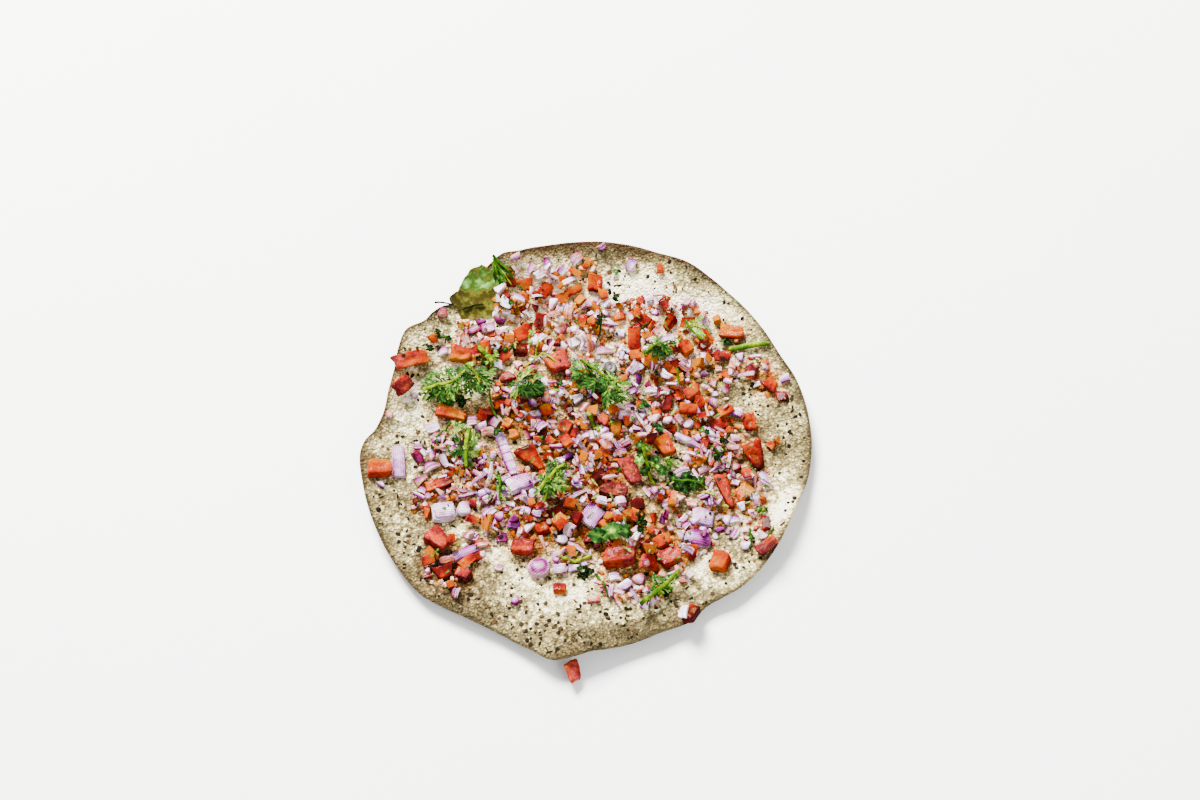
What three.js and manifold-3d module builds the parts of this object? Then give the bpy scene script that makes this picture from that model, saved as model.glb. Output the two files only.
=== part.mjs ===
// Masala papad: a large roasted lentil wafer with a wavy, curled rim, covered with chopped onion, tomato and
// coriander. Millimetres, +Z up, the wafer's lowest faces on z = 0, the viewer's side towards -Y.
import * as THREE from "three";
import { ConvexGeometry } from "three/addons/geometries/ConvexGeometry.js";
import { mergeVertices } from "three/addons/utils/BufferGeometryUtils.js";
import Module from "manifold-3d";

const wasm = await Module();
wasm.setup();

// Driving dimensions of the wafer.
const RADIUS = 95; // half of the wafer's width
const THICKNESS = 1.5; // roasted and puffed
const RINGS = 15; // ring k of the wafer's net has 6k corners
const RING_POWER = 0.86; // closer rings towards the rim
const GAP = 0.35; // air between touching pieces
const LIFT_STEP = 0.2;
const BOW_STEPS = 4;

// The rim as seen round the wafer: angle from +X in degrees, radius as a share of RADIUS, height of the edge.
const RIM = [
  [0, 0.996, 6], [10, 1, 6.5], [20, 1, 7], [28, 0.983, 8], [37, 0.992, 8], [45, 1.005, 8], [53, 1.01, 8],
  [61, 1.01, 9], [69, 1.01, 9.5], [77, 1.025, 10], [86, 1.015, 12], [95, 1.01, 13], [103, 1, 14],
  [108, 1, 14], [112, 1.015, 13], [116, 1, 11], [119, 0.984, 10], [122, 0.983, 10], [126, 0.946, 9],
  [130, 0.935, 8], [133, 0.952, 8], [136, 0.958, 8], [140, 0.95, 9], [145, 0.98, 10], [151, 0.955, 11],
  [157, 0.92, 12], [164, 0.904, 12], [170, 0.9, 11], [175, 0.925, 9], [178, 0.965, 8], [182, 0.985, 7],
  [190, 0.98, 5], [202, 0.975, 4], [214, 0.973, 3.5], [224, 0.97, 3.8], [231, 0.946, 4], [238, 0.925, 4.2],
  [247, 0.922, 4.5], [256, 0.949, 5], [262, 0.983, 5.3], [266, 0.973, 5.5], [272, 0.939, 5], [281, 0.921, 4.5],
  [291, 0.908, 4.2], [300, 0.914, 4], [305, 0.895, 4.3], [309, 0.902, 4.6], [315, 0.925, 5], [324, 0.94, 5.3],
  [333, 0.948, 5.7], [342, 0.955, 6], [351, 0.981, 6],
];
const CURL_POWER = 9; // how late the rim turns up

// The dish that the wafer makes between its flat middle and its rim.
const DISH_HEIGHT = 5;
const DISH_SINK = 1.2; // pressed flat on the table inside the radius where the dish is lower than this
const SWELLS = [
  // x, y, radius, height of each hill or hollow
  [-5, -76, 17, 3.5], [84, -42, 17, 3.2], [90, -12, 14, -2.4], [42, 84, 13, 2.6], [22, 80, 12, -1.4],
  [-82, -34, 20, 1.8], [-62, 60, 10, -1.2], [-58, 14, 15, 2.0], [-40, -64, 18, 1.6], [60, 27, 13, 1.8],
  [2, 19, 10, 1.8], [26, -16, 9, 1.8],
];
const RIPPLES = [
  // waves per turn, phase, height at the rim
  [5, 0.6, 0.9], [9, 2.1, 0.6], [14, 4.0, 0.45],
];
const BLISTERS = { seed: 41, count: 150, radius: [2.5, 5], height: [0.4, 1.1] };

// Where the chopped salad lies thick: x, y, radius, share of tomato.
const CLUMPS = [
  [-24, 86, 12, 0.3], [-8, 84, 12, 0.4], [-28, 74, 9, 0.7], [-15, 72, 8, 0.4], [1, 64, 11, 0.7],
  [-42, 61, 11, 0.1], [-28, 59, 11, 0.5], [-13, 58, 11, 0.3], [18, 62, 11, 0.5], [30, 62, 11, 0.5],
  [43, 59, 10, 0.5], [-46, 50, 10, 0.3], [-31, 45, 12, 0.7], [-6, 48, 11, 0.3], [9, 46, 11, 0.1],
  [22, 47, 9, 0.3], [35, 50, 11, 0.2], [47, 45, 10, 0.6], [68, 42, 9, 0.2], [80, 34, 10, 0.5],
  [-28, 32, 11, 0.5], [-13, 31, 10, 0.4], [3, 32, 9, 0.2], [24, 34, 9, 0.3], [45, 30, 12, 0.7],
  [56, 32, 9, 0.2], [34, 21, 9, 0.4], [-30, 16, 11, 0.5], [-15, 12, 12, 0.4], [5, 8, 12, 0.3],
  [17, 11, 9, 0.4], [29, 9, 10, 0.3], [46, 13, 11, 0.4], [58, 11, 10, 0.6], [61, 0, 11, 0.3],
  [-57, 8, 9, 0.05], [-60, -6, 9, 0.2], [-44, -6, 10, 0.3], [-16, -4, 11, 0.3], [2, -4, 12, 0.2],
  [15, -2, 10, 0.4], [-28, -15, 10, 0.1], [8, -17, 12, 0.6], [49, -4, 10, 0.2], [66, -14, 11, 0.2],
  [-61, -24, 10, 0.4], [-49, -23, 8, 0.4], [-39, -26, 7, 0.1], [-31, -33, 9, 0.2], [-19, -33, 10, 0.5],
  [-6, -28, 12, 0.5], [5, -32, 11, 0.6], [19, -27, 8, 0.4], [31, -23, 8, 0.1], [33, -35, 9, 0.4],
  [45, -37, 9, 0.1], [54, -27, 9, 0.1], [67, -30, 10, 0.2], [-47, -44, 7, 0.1], [-56, -52, 9, 0.5],
  [-4, -48, 8, 0.2], [17, -46, 11, 0.6], [34, -46, 9, 0.4], [15, -58, 9, 0.2], [25, -61, 8, 0.3],
];
const HEAP_HEIGHT = 2.6; // of the core under the pieces
const HEAP_BUMPS = 0.35; // how uneven it is, as a share of its height
const HEAP_EDGE = 0.42; // how much salad it takes for the core to begin
const DICE_PER_MM2 = 0.006;
const ONION_DICE = { length: [4.2, 6.6], width: [3.4, 4.8], height: [1.8, 2.6] };
const TOMATO_DICE = { length: [5.0, 7.4], width: [4.2, 5.8], height: [2.8, 4.0] };
const SMALLEST_HEAP = 120; // mm3

const BIT_SINK = 0.6; // how deep a loose bit is set into the wafer
const HALF_SPAN = 110; // of the map of heights

// Pieces that fell alone on the bare wafer: x, y, length, width, height, turn in degrees.
const LOOSE_BITS = [
  [7, 94, 5, 4, 2.4, 20], [20, 88, 6, 4.5, 2.4, 60], [33, 84, 5, 4, 3, 80], [-63, 66, 6, 5, 2.6, 10],
  [-10, -62, 5.5, 5, 4, 0], [-28, -67, 5, 4, 3, 70], [-52, -64, 5, 4, 3, 80], [4, -67, 7, 5, 2.4, 15],
  [13, -67, 8, 2.6, 2, -70], [80, 3, 4.5, 4, 3, 40], [-83, 14, 5, 4, 2, 10], [-84, -17, 4, 4, 2, 30],
  [42, -56, 4.5, 4.5, 2.6, 50], [-70, -3, 6, 4.5, 2.6, -50], [-65, 51, 5, 4, 3, 20], [-9, 69, 4, 3.5, 2, 60],
  [57, 43, 6, 5, 3, 100], [-35, -52, 3.5, 3, 1.8, 0], [38, 20, 4, 3.4, 2, 30], [-72, 24, 4, 3, 1.8, 75],
];

// Pieces as large as a berry: place, length, width, height, turn in degrees. A bent one bows by that much.
const TOMATO_PIECES = [
  { name: "tomato_middle_left", at: [-12, 41], size: [12, 10, 6], turn: 20 },
  { name: "tomato_strip_left_rim", at: [-74.5, 38], size: [17, 6, 4.5], turn: 27 },
  { name: "tomato_left_rim", at: [-76.5, 26.5], size: [10, 7, 4.5], turn: 50 },
  { name: "tomato_upper_left", at: [-53, 44], size: [10, 8, 5], turn: -10 },
  { name: "tomato_strip_left", at: [-57, 16], size: [15, 5, 4], turn: -12 },
  { name: "tomato_far_left", at: [-85, -10], size: [11, 7, 5.5], turn: 4 },
  { name: "tomato_red_left", at: [-60, -15.5], size: [13, 5, 4], turn: 18 },
  { name: "tomato_wedge_middle", at: [-22.5, -3], size: [14, 8, 4], turn: -52 },
  { name: "tomato_slice_middle", at: [19, -8], size: [14, 8, 3], turn: -64 },
  { name: "tomato_dark_middle", at: [12, -18], size: [13, 8, 4.5], turn: -20 },
  { name: "tomato_orange_right", at: [33.5, 2.5], size: [10, 7, 4], turn: -60 },
  { name: "tomato_right_upper", at: [69, 13], size: [9, 6, 4], turn: 100 },
  { name: "tomato_right_lower", at: [71, -3], size: [13, 7, 5], turn: -75 },
  { name: "tomato_strip_right", at: [58, -18.5], size: [18, 5, 4], turn: -76 },
  { name: "tomato_near_middle", at: [15, -48], size: [15, 10, 7], turn: 0 },
  { name: "tomato_near_right", at: [35, -48], size: [11, 8, 4.5], turn: 30 },
  { name: "tomato_orange_near_right", at: [55, -50.5], size: [9, 8, 5.5], turn: 70 },
  { name: "tomato_strip_near_right", at: [74, -44], size: [11, 4, 4], turn: 35 },
  { name: "tomato_near_left", at: [-25, -43], size: [11, 7, 5.5], turn: -8 },
  { name: "tomato_low_left", at: [-60, -41], size: [11, 8, 5.5], turn: -40 },
  { name: "tomato_near_rim", at: [43, -73], size: [9, 6, 5], turn: 60 },
  { name: "tomato_peach_far_right", at: [63, 55.5], size: [12, 7, 4], turn: -14 },
  { name: "tomato_orange_far", at: [4, 79], size: [9, 6.5, 4], turn: 88 },
];
const ONION_PIECES = [
  { name: "onion_strip_middle", at: [-33, -1], size: [20, 5, 2.2], turn: -70, bend: 0.8 },
  { name: "onion_plate_middle", at: [-27, -15.5], size: [10, 8, 2.8], turn: -55, bend: 1.2 },
  { name: "onion_strip_left", at: [-77, -6], size: [14, 5, 2.4], turn: -84, bend: 0.6 },
  { name: "onion_block_left", at: [-58, -27.5], size: [9, 8.5, 4], turn: 10, bend: 0.8 },
  { name: "onion_strip_right", at: [43.5, 4.5], size: [13, 3, 2], turn: -30, bend: 1.4 },
  { name: "onion_diamond_near", at: [3, -29], size: [9, 8, 2.4], turn: 50, bend: 0.6 },
  { name: "onion_curl_near_right", at: [46, -39.5], size: [10, 6, 3.4], turn: -12, bend: 1.6 },
  { name: "onion_plate_right", at: [48.5, -29.5], size: [9, 7, 2.6], turn: -10, bend: 1.0 },
  { name: "onion_near_left", at: [-18.5, -52], size: [8.5, 7, 4], turn: 30, bend: 1.2 },
  { name: "onion_strip_low_left", at: [-49, -46], size: [13, 4, 2], turn: 28, bend: 1.0 },
];

// Sprigs of coriander: place, length, width, turn in degrees of the end leaflet.
const SPRIGS = [
  { name: "coriander_left_outer", at: [-59, 27], size: [20, 16], turn: 192 },
  { name: "coriander_left_inner", at: [-46, 29], size: [16, 14], turn: -25 },
  { name: "coriander_upper_middle", at: [-24, 25], size: [18, 13], turn: 8 },
  { name: "coriander_middle_outer", at: [1, 33], size: [19, 15], turn: 152 },
  { name: "coriander_middle_inner", at: [13, 25], size: [16, 13], turn: 40 },
  { name: "coriander_lower_left", at: [-50, 1], size: [19, 12], turn: 100 },
  { name: "coriander_bright_middle", at: [-13, -16], size: [19, 13], turn: 62 },
  { name: "coriander_right", at: [27, -9], size: [17, 12], turn: -80 },
  { name: "coriander_dark_right", at: [42, -15], size: [18, 10], turn: 175 },
  { name: "coriander_flat_near", at: [11, -38.5], size: [17, 8], turn: 4 },
  { name: "coriander_near_right", at: [31, -62], size: [23, 11], turn: 44 },
  { name: "coriander_far_rim", at: [-38, 84], size: [14, 13], turn: 120 },
];
// A sprig's outline from the end leaflet round one side: angle in degrees, reach as a share of its half length.
const SPRIG_OUTLINE = [
  [0, 1], [13, 0.8], [26, 0.4], [40, 0.78], [54, 1], [68, 0.76], [82, 0.38], [97, 0.72], [112, 0.9],
  [128, 0.6], [150, 0.2], [176, 1],
];
const LEAF_THICKNESS = 0.6;
const STALK = { name: "green_stalk_far_right", at: [70, 47.5], size: [19, 2.4, 1.8], turn: 6, bend: 1.2 };
const RIM_LEAF = { name: "lettuce_scrap_rim", at: [-48, 71], size: [17, 12], turn: 24 };
const RIM_LEAF_CORNERS = 16;
const RIM_LEAF_WAVE = 0.12; // how uneven its edge is
const FALLEN_TOMATO = { name: "tomato_fallen", at: [-4.5, -95], size: [10, 6.5, 6], turn: -72, tilt: 14 };

const LOOKS = {
  wafer: { color: 0xd3c19a, roughness: 0.8, metalness: 0 },
  salad: { color: 0xd99c97, roughness: 0.45, metalness: 0 },
  tomato: { color: 0xd4472a, roughness: 0.3, metalness: 0 },
  onion: { color: 0xdcc6d6, roughness: 0.35, metalness: 0 },
  coriander: { color: 0x3f7d22, roughness: 0.5, metalness: 0 },
  lettuce: { color: 0x8fae5a, roughness: 0.5, metalness: 0 },
};

const UP = new THREE.Vector3(0, 0, 1);
const radians = (degrees) => (degrees * Math.PI) / 180;

// A generator of seeded draws from 0 to 1.
function seeded(seed) {
  let state = seed * 7919 + 17;
  const draw = () => (state = (state * 16807) % 2147483647) / 2147483647;
  draw();
  return draw;
}
const between = (draw, [low, high]) => low + (high - low) * draw();

// The rim's radius and height at any angle, through the rows of RIM, with smooth turns.
function rimAt(angle) {
  const degrees = ((THREE.MathUtils.radToDeg(angle) % 360) + 360) % 360;
  const n = RIM.length;
  let i = RIM.findIndex((row) => row[0] > degrees) - 1;
  if (i < 0) i = n - 1;
  const row = (k) => RIM[(i + k + n) % n];
  const start = RIM[i][0];
  const end = i === n - 1 ? 360 : RIM[i + 1][0];
  const t = (degrees - start) / (end - start);
  const smooth = (column) => {
    const [a, b, c, d] = [-1, 0, 1, 2].map((k) => row(k)[column]);
    return b + 0.5 * t * (c - a + t * (2 * a - 5 * b + 4 * c - d + t * (3 * (b - c) + d - a)));
  };
  return { radius: RADIUS * smooth(1), lift: smooth(2) };
}

function makeBlisters({ seed, count, radius, height }) {
  const draw = seeded(seed);
  return Array.from({ length: count }, () => {
    const angle = 2 * Math.PI * draw();
    const reach = RADIUS * Math.sqrt(draw());
    return {
      x: reach * Math.cos(angle),
      y: reach * Math.sin(angle),
      radius: between(draw, radius),
      height: between(draw, height),
    };
  });
}
const blisters = makeBlisters(BLISTERS);

const hill = (x, y, cx, cy, radius) => Math.exp(-((x - cx) ** 2 + (y - cy) ** 2) / radius ** 2);

// The wafer's underside: flat on the table where the dish would dip below it.
function underside(x, y) {
  const angle = Math.atan2(y, x);
  const rim = rimAt(angle);
  const share = Math.hypot(x, y) / rim.radius;
  let z = DISH_HEIGHT * share ** 3 - DISH_SINK;
  for (const [cx, cy, radius, height] of SWELLS) z += height * hill(x, y, cx, cy, radius);
  for (const [waves, phase, height] of RIPPLES) z += height * share ** 3 * Math.cos(waves * angle + phase);
  z += (rim.lift - DISH_HEIGHT + DISH_SINK) * share ** CURL_POWER;
  return Math.max(0, z);
}

function topside(x, y) {
  let z = underside(x, y) + THICKNESS;
  for (const b of blisters) z += b.height * hill(x, y, b.x, b.y, b.radius);
  return z;
}

// A solid between two height functions over the wafer's net of triangles, both faces split alike.
function sheet(bottomAt, topAt, rings = RINGS) {
  const plan = [[0, 0]];
  const first = [0];
  for (let k = 1; k <= rings; k++) {
    first.push(plan.length);
    for (let j = 0; j < 6 * k; j++) {
      const angle = (2 * Math.PI * j) / (6 * k);
      const radius = rimAt(angle).radius * (k / RINGS) ** RING_POWER;
      plan.push([radius * Math.cos(angle), radius * Math.sin(angle)]);
    }
  }
  const corner = (ring, j) => (ring === 0 ? 0 : first[ring] + (j % (6 * ring)));
  const n = plan.length;
  const positions = [];
  for (const [x, y] of plan) positions.push(x, y, topAt(x, y));
  for (const [x, y] of plan) positions.push(x, y, bottomAt(x, y));
  const faces = [];
  const both = (a, b, c) => faces.push(a, b, c, n + a, n + c, n + b);
  for (let k = 1; k <= rings; k++) {
    for (let side = 0; side < 6; side++) {
      for (let i = 0; i < k; i++) {
        const outer = side * k + i;
        const inner = side * (k - 1) + i;
        both(corner(k, outer), corner(k, outer + 1), corner(k - 1, inner));
        if (i < k - 1) both(corner(k - 1, inner), corner(k, outer + 1), corner(k - 1, inner + 1));
      }
    }
  }
  for (let j = 0; j < 6 * rings; j++) {
    const a = corner(rings, j);
    const b = corner(rings, j + 1);
    faces.push(a, n + a, n + b, a, n + b, b);
  }
  const geometry = new THREE.BufferGeometry();
  geometry.setAttribute("position", new THREE.Float32BufferAttribute(positions, 3));
  geometry.setIndex(faces);
  return solidOf(geometry);
}

function solidOf(geometry) {
  const bare = geometry.clone();
  bare.deleteAttribute("normal");
  bare.deleteAttribute("uv");
  const merged = mergeVertices(bare, 1e-4);
  return new wasm.Manifold(
    new wasm.Mesh({
      numProp: 3,
      vertProperties: new Float32Array(merged.attributes.position.array),
      triVerts: new Uint32Array(merged.index.array),
    }),
  );
}

function geometryOf(solid) {
  const mesh = solid.getMesh();
  const positions = [];
  for (let i = 0; i < mesh.numVert; i++) {
    positions.push(...mesh.vertProperties.slice(i * mesh.numProp, i * mesh.numProp + 3));
  }
  const geometry = new THREE.BufferGeometry();
  geometry.setAttribute("position", new THREE.Float32BufferAttribute(positions, 3));
  geometry.setIndex(Array.from(mesh.triVerts));
  geometry.computeVertexNormals();
  return geometry;
}

// How much salad lies at a place, and how high its core stands there.
const saladAt = (x, y) => CLUMPS.reduce((sum, [cx, cy, r]) => sum + hill(x, y, cx, cy, 0.8 * r), 0);
const coreHeight = (x, y) => {
  const share = Math.min(1, (saladAt(x, y) - HEAP_EDGE) / (1 - HEAP_EDGE));
  return HEAP_HEIGHT * share * (1 + HEAP_BUMPS * Math.sin(0.9 * x + 0.4 * y) * Math.sin(0.8 * y - 0.3 * x));
};

// The turn and place of a piece that lies on the wafer's slope with its middle at a height over it.
function poseOf({ at: [x, y], size: [length], turn, tilt = 0 }, over) {
  const step = length / 2;
  const slopeX = (topside(x + step, y) - topside(x - step, y)) / (2 * step);
  const slopeY = (topside(x, y + step) - topside(x, y - step)) / (2 * step);
  const lean = new THREE.Quaternion().setFromUnitVectors(UP, new THREE.Vector3(-slopeX, -slopeY, 1).normalize());
  const own = new THREE.Quaternion().setFromEuler(new THREE.Euler(0, radians(tilt), radians(turn), "ZYX"));
  return { position: new THREE.Vector3(x, y, topside(x, y) + over), quaternion: lean.multiply(own) };
}
const ONE = new THREE.Vector3(1, 1, 1);
function placed(geometry, { position, quaternion }) {
  return geometry.clone().applyMatrix4(new THREE.Matrix4().compose(position, quaternion, ONE));
}

// A chopped block: a box with its corners cut unevenly and its faces a little crowned.
function block([length, width, height], draw, grow = 0) {
  const half = [length / 2 + grow, width / 2 + grow, height / 2 + grow];
  const points = [];
  for (const x of [-1, 1]) {
    for (const y of [-1, 1]) {
      for (const z of [-1, 1]) {
        const pull = [0.92 - 0.2 * draw(), 0.92 - 0.2 * draw(), 0.96 - 0.14 * draw()];
        points.push(new THREE.Vector3(x * half[0] * pull[0], y * half[1] * pull[1], z * half[2] * pull[2]));
      }
    }
  }
  for (let axis = 0; axis < 3; axis++) {
    for (const side of [-1, 1]) points.push(new THREE.Vector3().setComponent(axis, side * half[axis]));
  }
  return new ConvexGeometry(points);
}

// A strip or plate of an onion's layer, bowed along its length.
function bowed([length, width, height], bend, grow = 0) {
  const geometry = new THREE.BoxGeometry(length + 2 * grow, width + 2 * grow, height + 2 * grow, BOW_STEPS);
  const positions = geometry.attributes.position;
  for (let i = 0; i < positions.count; i++) {
    const share = positions.getX(i) / (length / 2);
    positions.setZ(i, positions.getZ(i) + bend * (0.5 - share * share));
    positions.setY(i, positions.getY(i) * (1 - 0.12 * share * share));
  }
  return geometry;
}

// A small dice of the heap: a box with its corners moved.
function dice([length, width, height], draw) {
  const geometry = mergeVertices(
    new THREE.BoxGeometry(length, width, height).deleteAttribute("normal").deleteAttribute("uv"),
  );
  const positions = geometry.attributes.position;
  for (let i = 0; i < positions.count; i++) {
    positions.setXYZ(
      i,
      positions.getX(i) * (1 - 0.25 * draw()),
      positions.getY(i) * (1 - 0.25 * draw()),
      positions.getZ(i) * (1 - 0.15 * draw()),
    );
  }
  return geometry;
}

// The pieces of one clump, largest first, spread evenly over its disc.
function clumpDice([cx, cy, radius, tomatoShare], index) {
  const draw = seeded(index + 1);
  const count = Math.round(DICE_PER_MM2 * Math.PI * radius * radius);
  const golden = Math.PI * (3 - Math.sqrt(5));
  const start = 2 * Math.PI * draw();
  return Array.from({ length: count }, (_, i) => {
    const reach = 0.95 * radius * Math.sqrt((i + 0.3 + 0.4 * draw()) / count);
    const angle = start + i * golden;
    const kind = draw() < tomatoShare ? TOMATO_DICE : ONION_DICE;
    const size = [between(draw, kind.length), between(draw, kind.width), between(draw, kind.height)];
    const place = [cx + reach * Math.cos(angle), cy + reach * Math.sin(angle)];
    const turn = 360 * draw();
    const tilt = 50 * (draw() - 0.5);
    return { at: place, size, turn, tilt, geometry: dice(size, draw) };
  });
}

const wafer = sheet(underside, topside);
const resting = (x, y) => topside(x, y) + GAP;
const waferAndAir = sheet(() => -20, resting);

// How far a piece must be lifted, in small steps, to be clear of what lies below it.
function liftOver(geometry, below) {
  const trial = geometry.clone();
  let lift = 0;
  while (solidOf(trial).intersect(below).volume() > 1e-6) {
    trial.translate(0, 0, LIFT_STEP);
    lift += LIFT_STEP;
  }
  return lift;
}

// The loose bits that stick to the wafer, each also grown by the air round it.
const [bits, bitRooms] = [0, GAP].map((grow) =>
  LOOSE_BITS.map(([x, y, length, width, height, turn], i) => {
    const row = { at: [x, y], size: [length, width, height], turn };
    const grown = row.size.map((side) => side + 2 * grow);
    return solidOf(placed(dice(grown, seeded(300 + i)), poseOf(row, height / 2 - BIT_SINK)));
  }),
);
const papad = wasm.Manifold.union([wafer, ...bits]);

// Large pieces, each set down clear of the wafer and of the room that earlier ones take.
let taken = wasm.Manifold.union([waferAndAir, ...bitRooms]);
function largePiece(row, material, shape) {
  const geometry = shape(0);
  const pose = poseOf(row, row.size[2] / 2);
  pose.position.z += liftOver(placed(geometry, pose), taken);
  const room = solidOf(placed(shape(GAP), pose));
  taken = taken.add(room);
  return { name: row.name, material, geometry, pose, room, solid: solidOf(placed(geometry, pose)) };
}
const large = [
  ...TOMATO_PIECES.map((row, i) =>
    largePiece(row, "tomato", (grow) => block(row.size, seeded(500 + i), grow)),
  ),
  ...ONION_PIECES.map((row) => largePiece(row, "onion", (grow) => bowed(row.size, row.bend, grow))),
  largePiece(STALK, "coriander", (grow) => bowed(STALK.size, STALK.bend, grow)),
];

// The salad heaps: a low core with the dice that show fused on, cut clear of the wafer and the large pieces.
function makeHeaps() {
  const core = sheet(() => -20, (x, y) => resting(x, y) + coreHeight(x, y), RINGS - 1);
  const dices = CLUMPS.flatMap(clumpDice)
    .filter(({ at: [x, y] }) => coreHeight(x, y) > 0.2 && Math.hypot(x, y) < 0.95 * rimAt(Math.atan2(y, x)).radius)
    .map((d) => solidOf(placed(d.geometry, poseOf(d, GAP + coreHeight(...d.at) + 0.05 * d.size[2]))));
  return wasm.Manifold.union([core, ...dices])
    .subtract(taken)
    .decompose()
    .filter((part) => part.volume() > SMALLEST_HEAP)
    .sort((a, b) => b.volume() - a.volume());
}
const heaps = makeHeaps();

// The height of what lies on the wafer, in squares of 1 mm, for the leaves that rest on top.
const heights = Array.from({ length: 2 * HALF_SPAN }, () => new Float32Array(2 * HALF_SPAN));
function raiseHeights(solid) {
  const { vertProperties: v, triVerts: t, numProp: n } = solid.getMesh();
  for (let f = 0; f < t.length; f += 3) {
    const corners = [0, 1, 2].map((k) => Array.from(v.slice(t[f + k] * n, t[f + k] * n + 3)));
    const middleHeight = (corners[0][2] + corners[1][2] + corners[2][2]) / 3;
    const [x0, x1, y0, y1] = [0, 1].flatMap((axis) => {
      const values = corners.map((corner) => corner[axis] + HALF_SPAN);
      return [Math.floor(Math.min(...values)), Math.ceil(Math.max(...values))];
    });
    for (let x = x0; x < x1; x++) {
      for (let y = y0; y < y1; y++) heights[x][y] = Math.max(heights[x][y], middleHeight);
    }
  }
}
// Past the rim a leaf keeps the height that it has at the rim.
function heightAt(x, y) {
  const inward = Math.min(1, (0.97 * rimAt(Math.atan2(y, x)).radius) / Math.hypot(x, y));
  return heights[Math.floor(x * inward) + HALF_SPAN][Math.floor(y * inward) + HALF_SPAN];
}

// A thin leaf from the outline round its middle: both faces are the same fan, laid over what is below.
function leaf({ at: [cx, cy], size: [length, width], turn }, outline, below) {
  const a = radians(turn);
  const plan = [[0, 0], ...outline].map(([angle, reach]) => {
    const u = (length / 2) * reach * Math.cos(radians(angle));
    const v = (width / 2) * reach * Math.sin(radians(angle));
    return [cx + u * Math.cos(a) - v * Math.sin(a), cy + u * Math.sin(a) + v * Math.cos(a)];
  });
  const floors = plan.map(([x, y]) => heightAt(x, y) + GAP);
  const n = plan.length;
  const positions = [
    ...plan.flatMap(([x, y], i) => [x, y, floors[i] + LEAF_THICKNESS]),
    ...plan.flatMap(([x, y], i) => [x, y, floors[i]]),
  ];
  const faces = [];
  for (let i = 1; i < n; i++) {
    const j = (i % (n - 1)) + 1;
    faces.push(0, i, j, n, n + j, n + i, i, n + i, n + j, i, n + j, j);
  }
  const geometry = new THREE.BufferGeometry();
  geometry.setAttribute("position", new THREE.Float32BufferAttribute(positions, 3));
  geometry.setIndex(faces);
  return geometry.translate(0, 0, liftOver(geometry, below));
}

let lower = wasm.Manifold.union([papad, ...heaps, ...large.map((piece) => piece.solid)]);
raiseHeights(lower);
function leafOnTop(row, outline, material) {
  const geometry = leaf(row, outline, lower);
  const solid = solidOf(geometry);
  raiseHeights(solid);
  lower = lower.add(solid);
  return { name: row.name, material, geometry };
}
const scrapOutline = Array.from({ length: RIM_LEAF_CORNERS }, (_, i) => {
  const angle = (360 * i) / RIM_LEAF_CORNERS;
  return [angle, 1 + RIM_LEAF_WAVE * Math.cos(radians(3 * angle))];
});
const otherSide = SPRIG_OUTLINE.slice(1).toReversed().map(([angle, reach]) => [360 - angle, reach]);
const sprigOutline = [...SPRIG_OUTLINE, ...otherSide];
const leaves = [
  leafOnTop(RIM_LEAF, scrapOutline, "lettuce"),
  ...SPRIGS.map((row) => leafOnTop(row, sprigOutline, "coriander")),
];

// The piece of tomato on the table, half under the wafer's near tip.
const fallenBlock = block(FALLEN_TOMATO.size, seeded(990));
fallenBlock.rotateY(radians(FALLEN_TOMATO.tilt));
fallenBlock.rotateZ(radians(FALLEN_TOMATO.turn));
fallenBlock.computeBoundingBox();
fallenBlock.translate(...FALLEN_TOMATO.at, -fallenBlock.boundingBox.min.z);
const waferRoom = sheet((x, y) => underside(x, y) - GAP, resting);
const fallen = solidOf(fallenBlock).subtract(waferRoom);

// The scene: the food in a group that puts the middle of the whole's plan on the origin.
const food = new THREE.Group();
const topping = new THREE.Group();
const herbs = new THREE.Group();
food.add(topping, herbs);
function show(parent, name, material, geometry, pose) {
  const mesh = new THREE.Mesh(geometry, new THREE.MeshStandardMaterial(LOOKS[material]));
  mesh.name = name;
  if (pose) {
    mesh.position.copy(pose.position);
    mesh.quaternion.copy(pose.quaternion);
  }
  parent.add(mesh);
}
show(food, "papad", "wafer", geometryOf(papad));
heaps.forEach((heap, i) => show(topping, `chopped_salad_${i + 1}`, "salad", geometryOf(heap)));
for (const { name, material, geometry, pose } of large) show(topping, name, material, geometry, pose);
for (const { name, material, geometry } of leaves) show(herbs, name, material, geometry);
show(food, FALLEN_TOMATO.name, "tomato", geometryOf(fallen));

const span = new THREE.Box3().setFromObject(food, true);
food.position.set(-(span.min.x + span.max.x) / 2, -(span.min.y + span.max.y) / 2, 0);
const group = new THREE.Group();
group.add(food);

export default group;
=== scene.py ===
# Masala papad: a roasted lentil wafer with chopped onion, tomato and coriander, dressed over its solids.
import math

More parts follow.
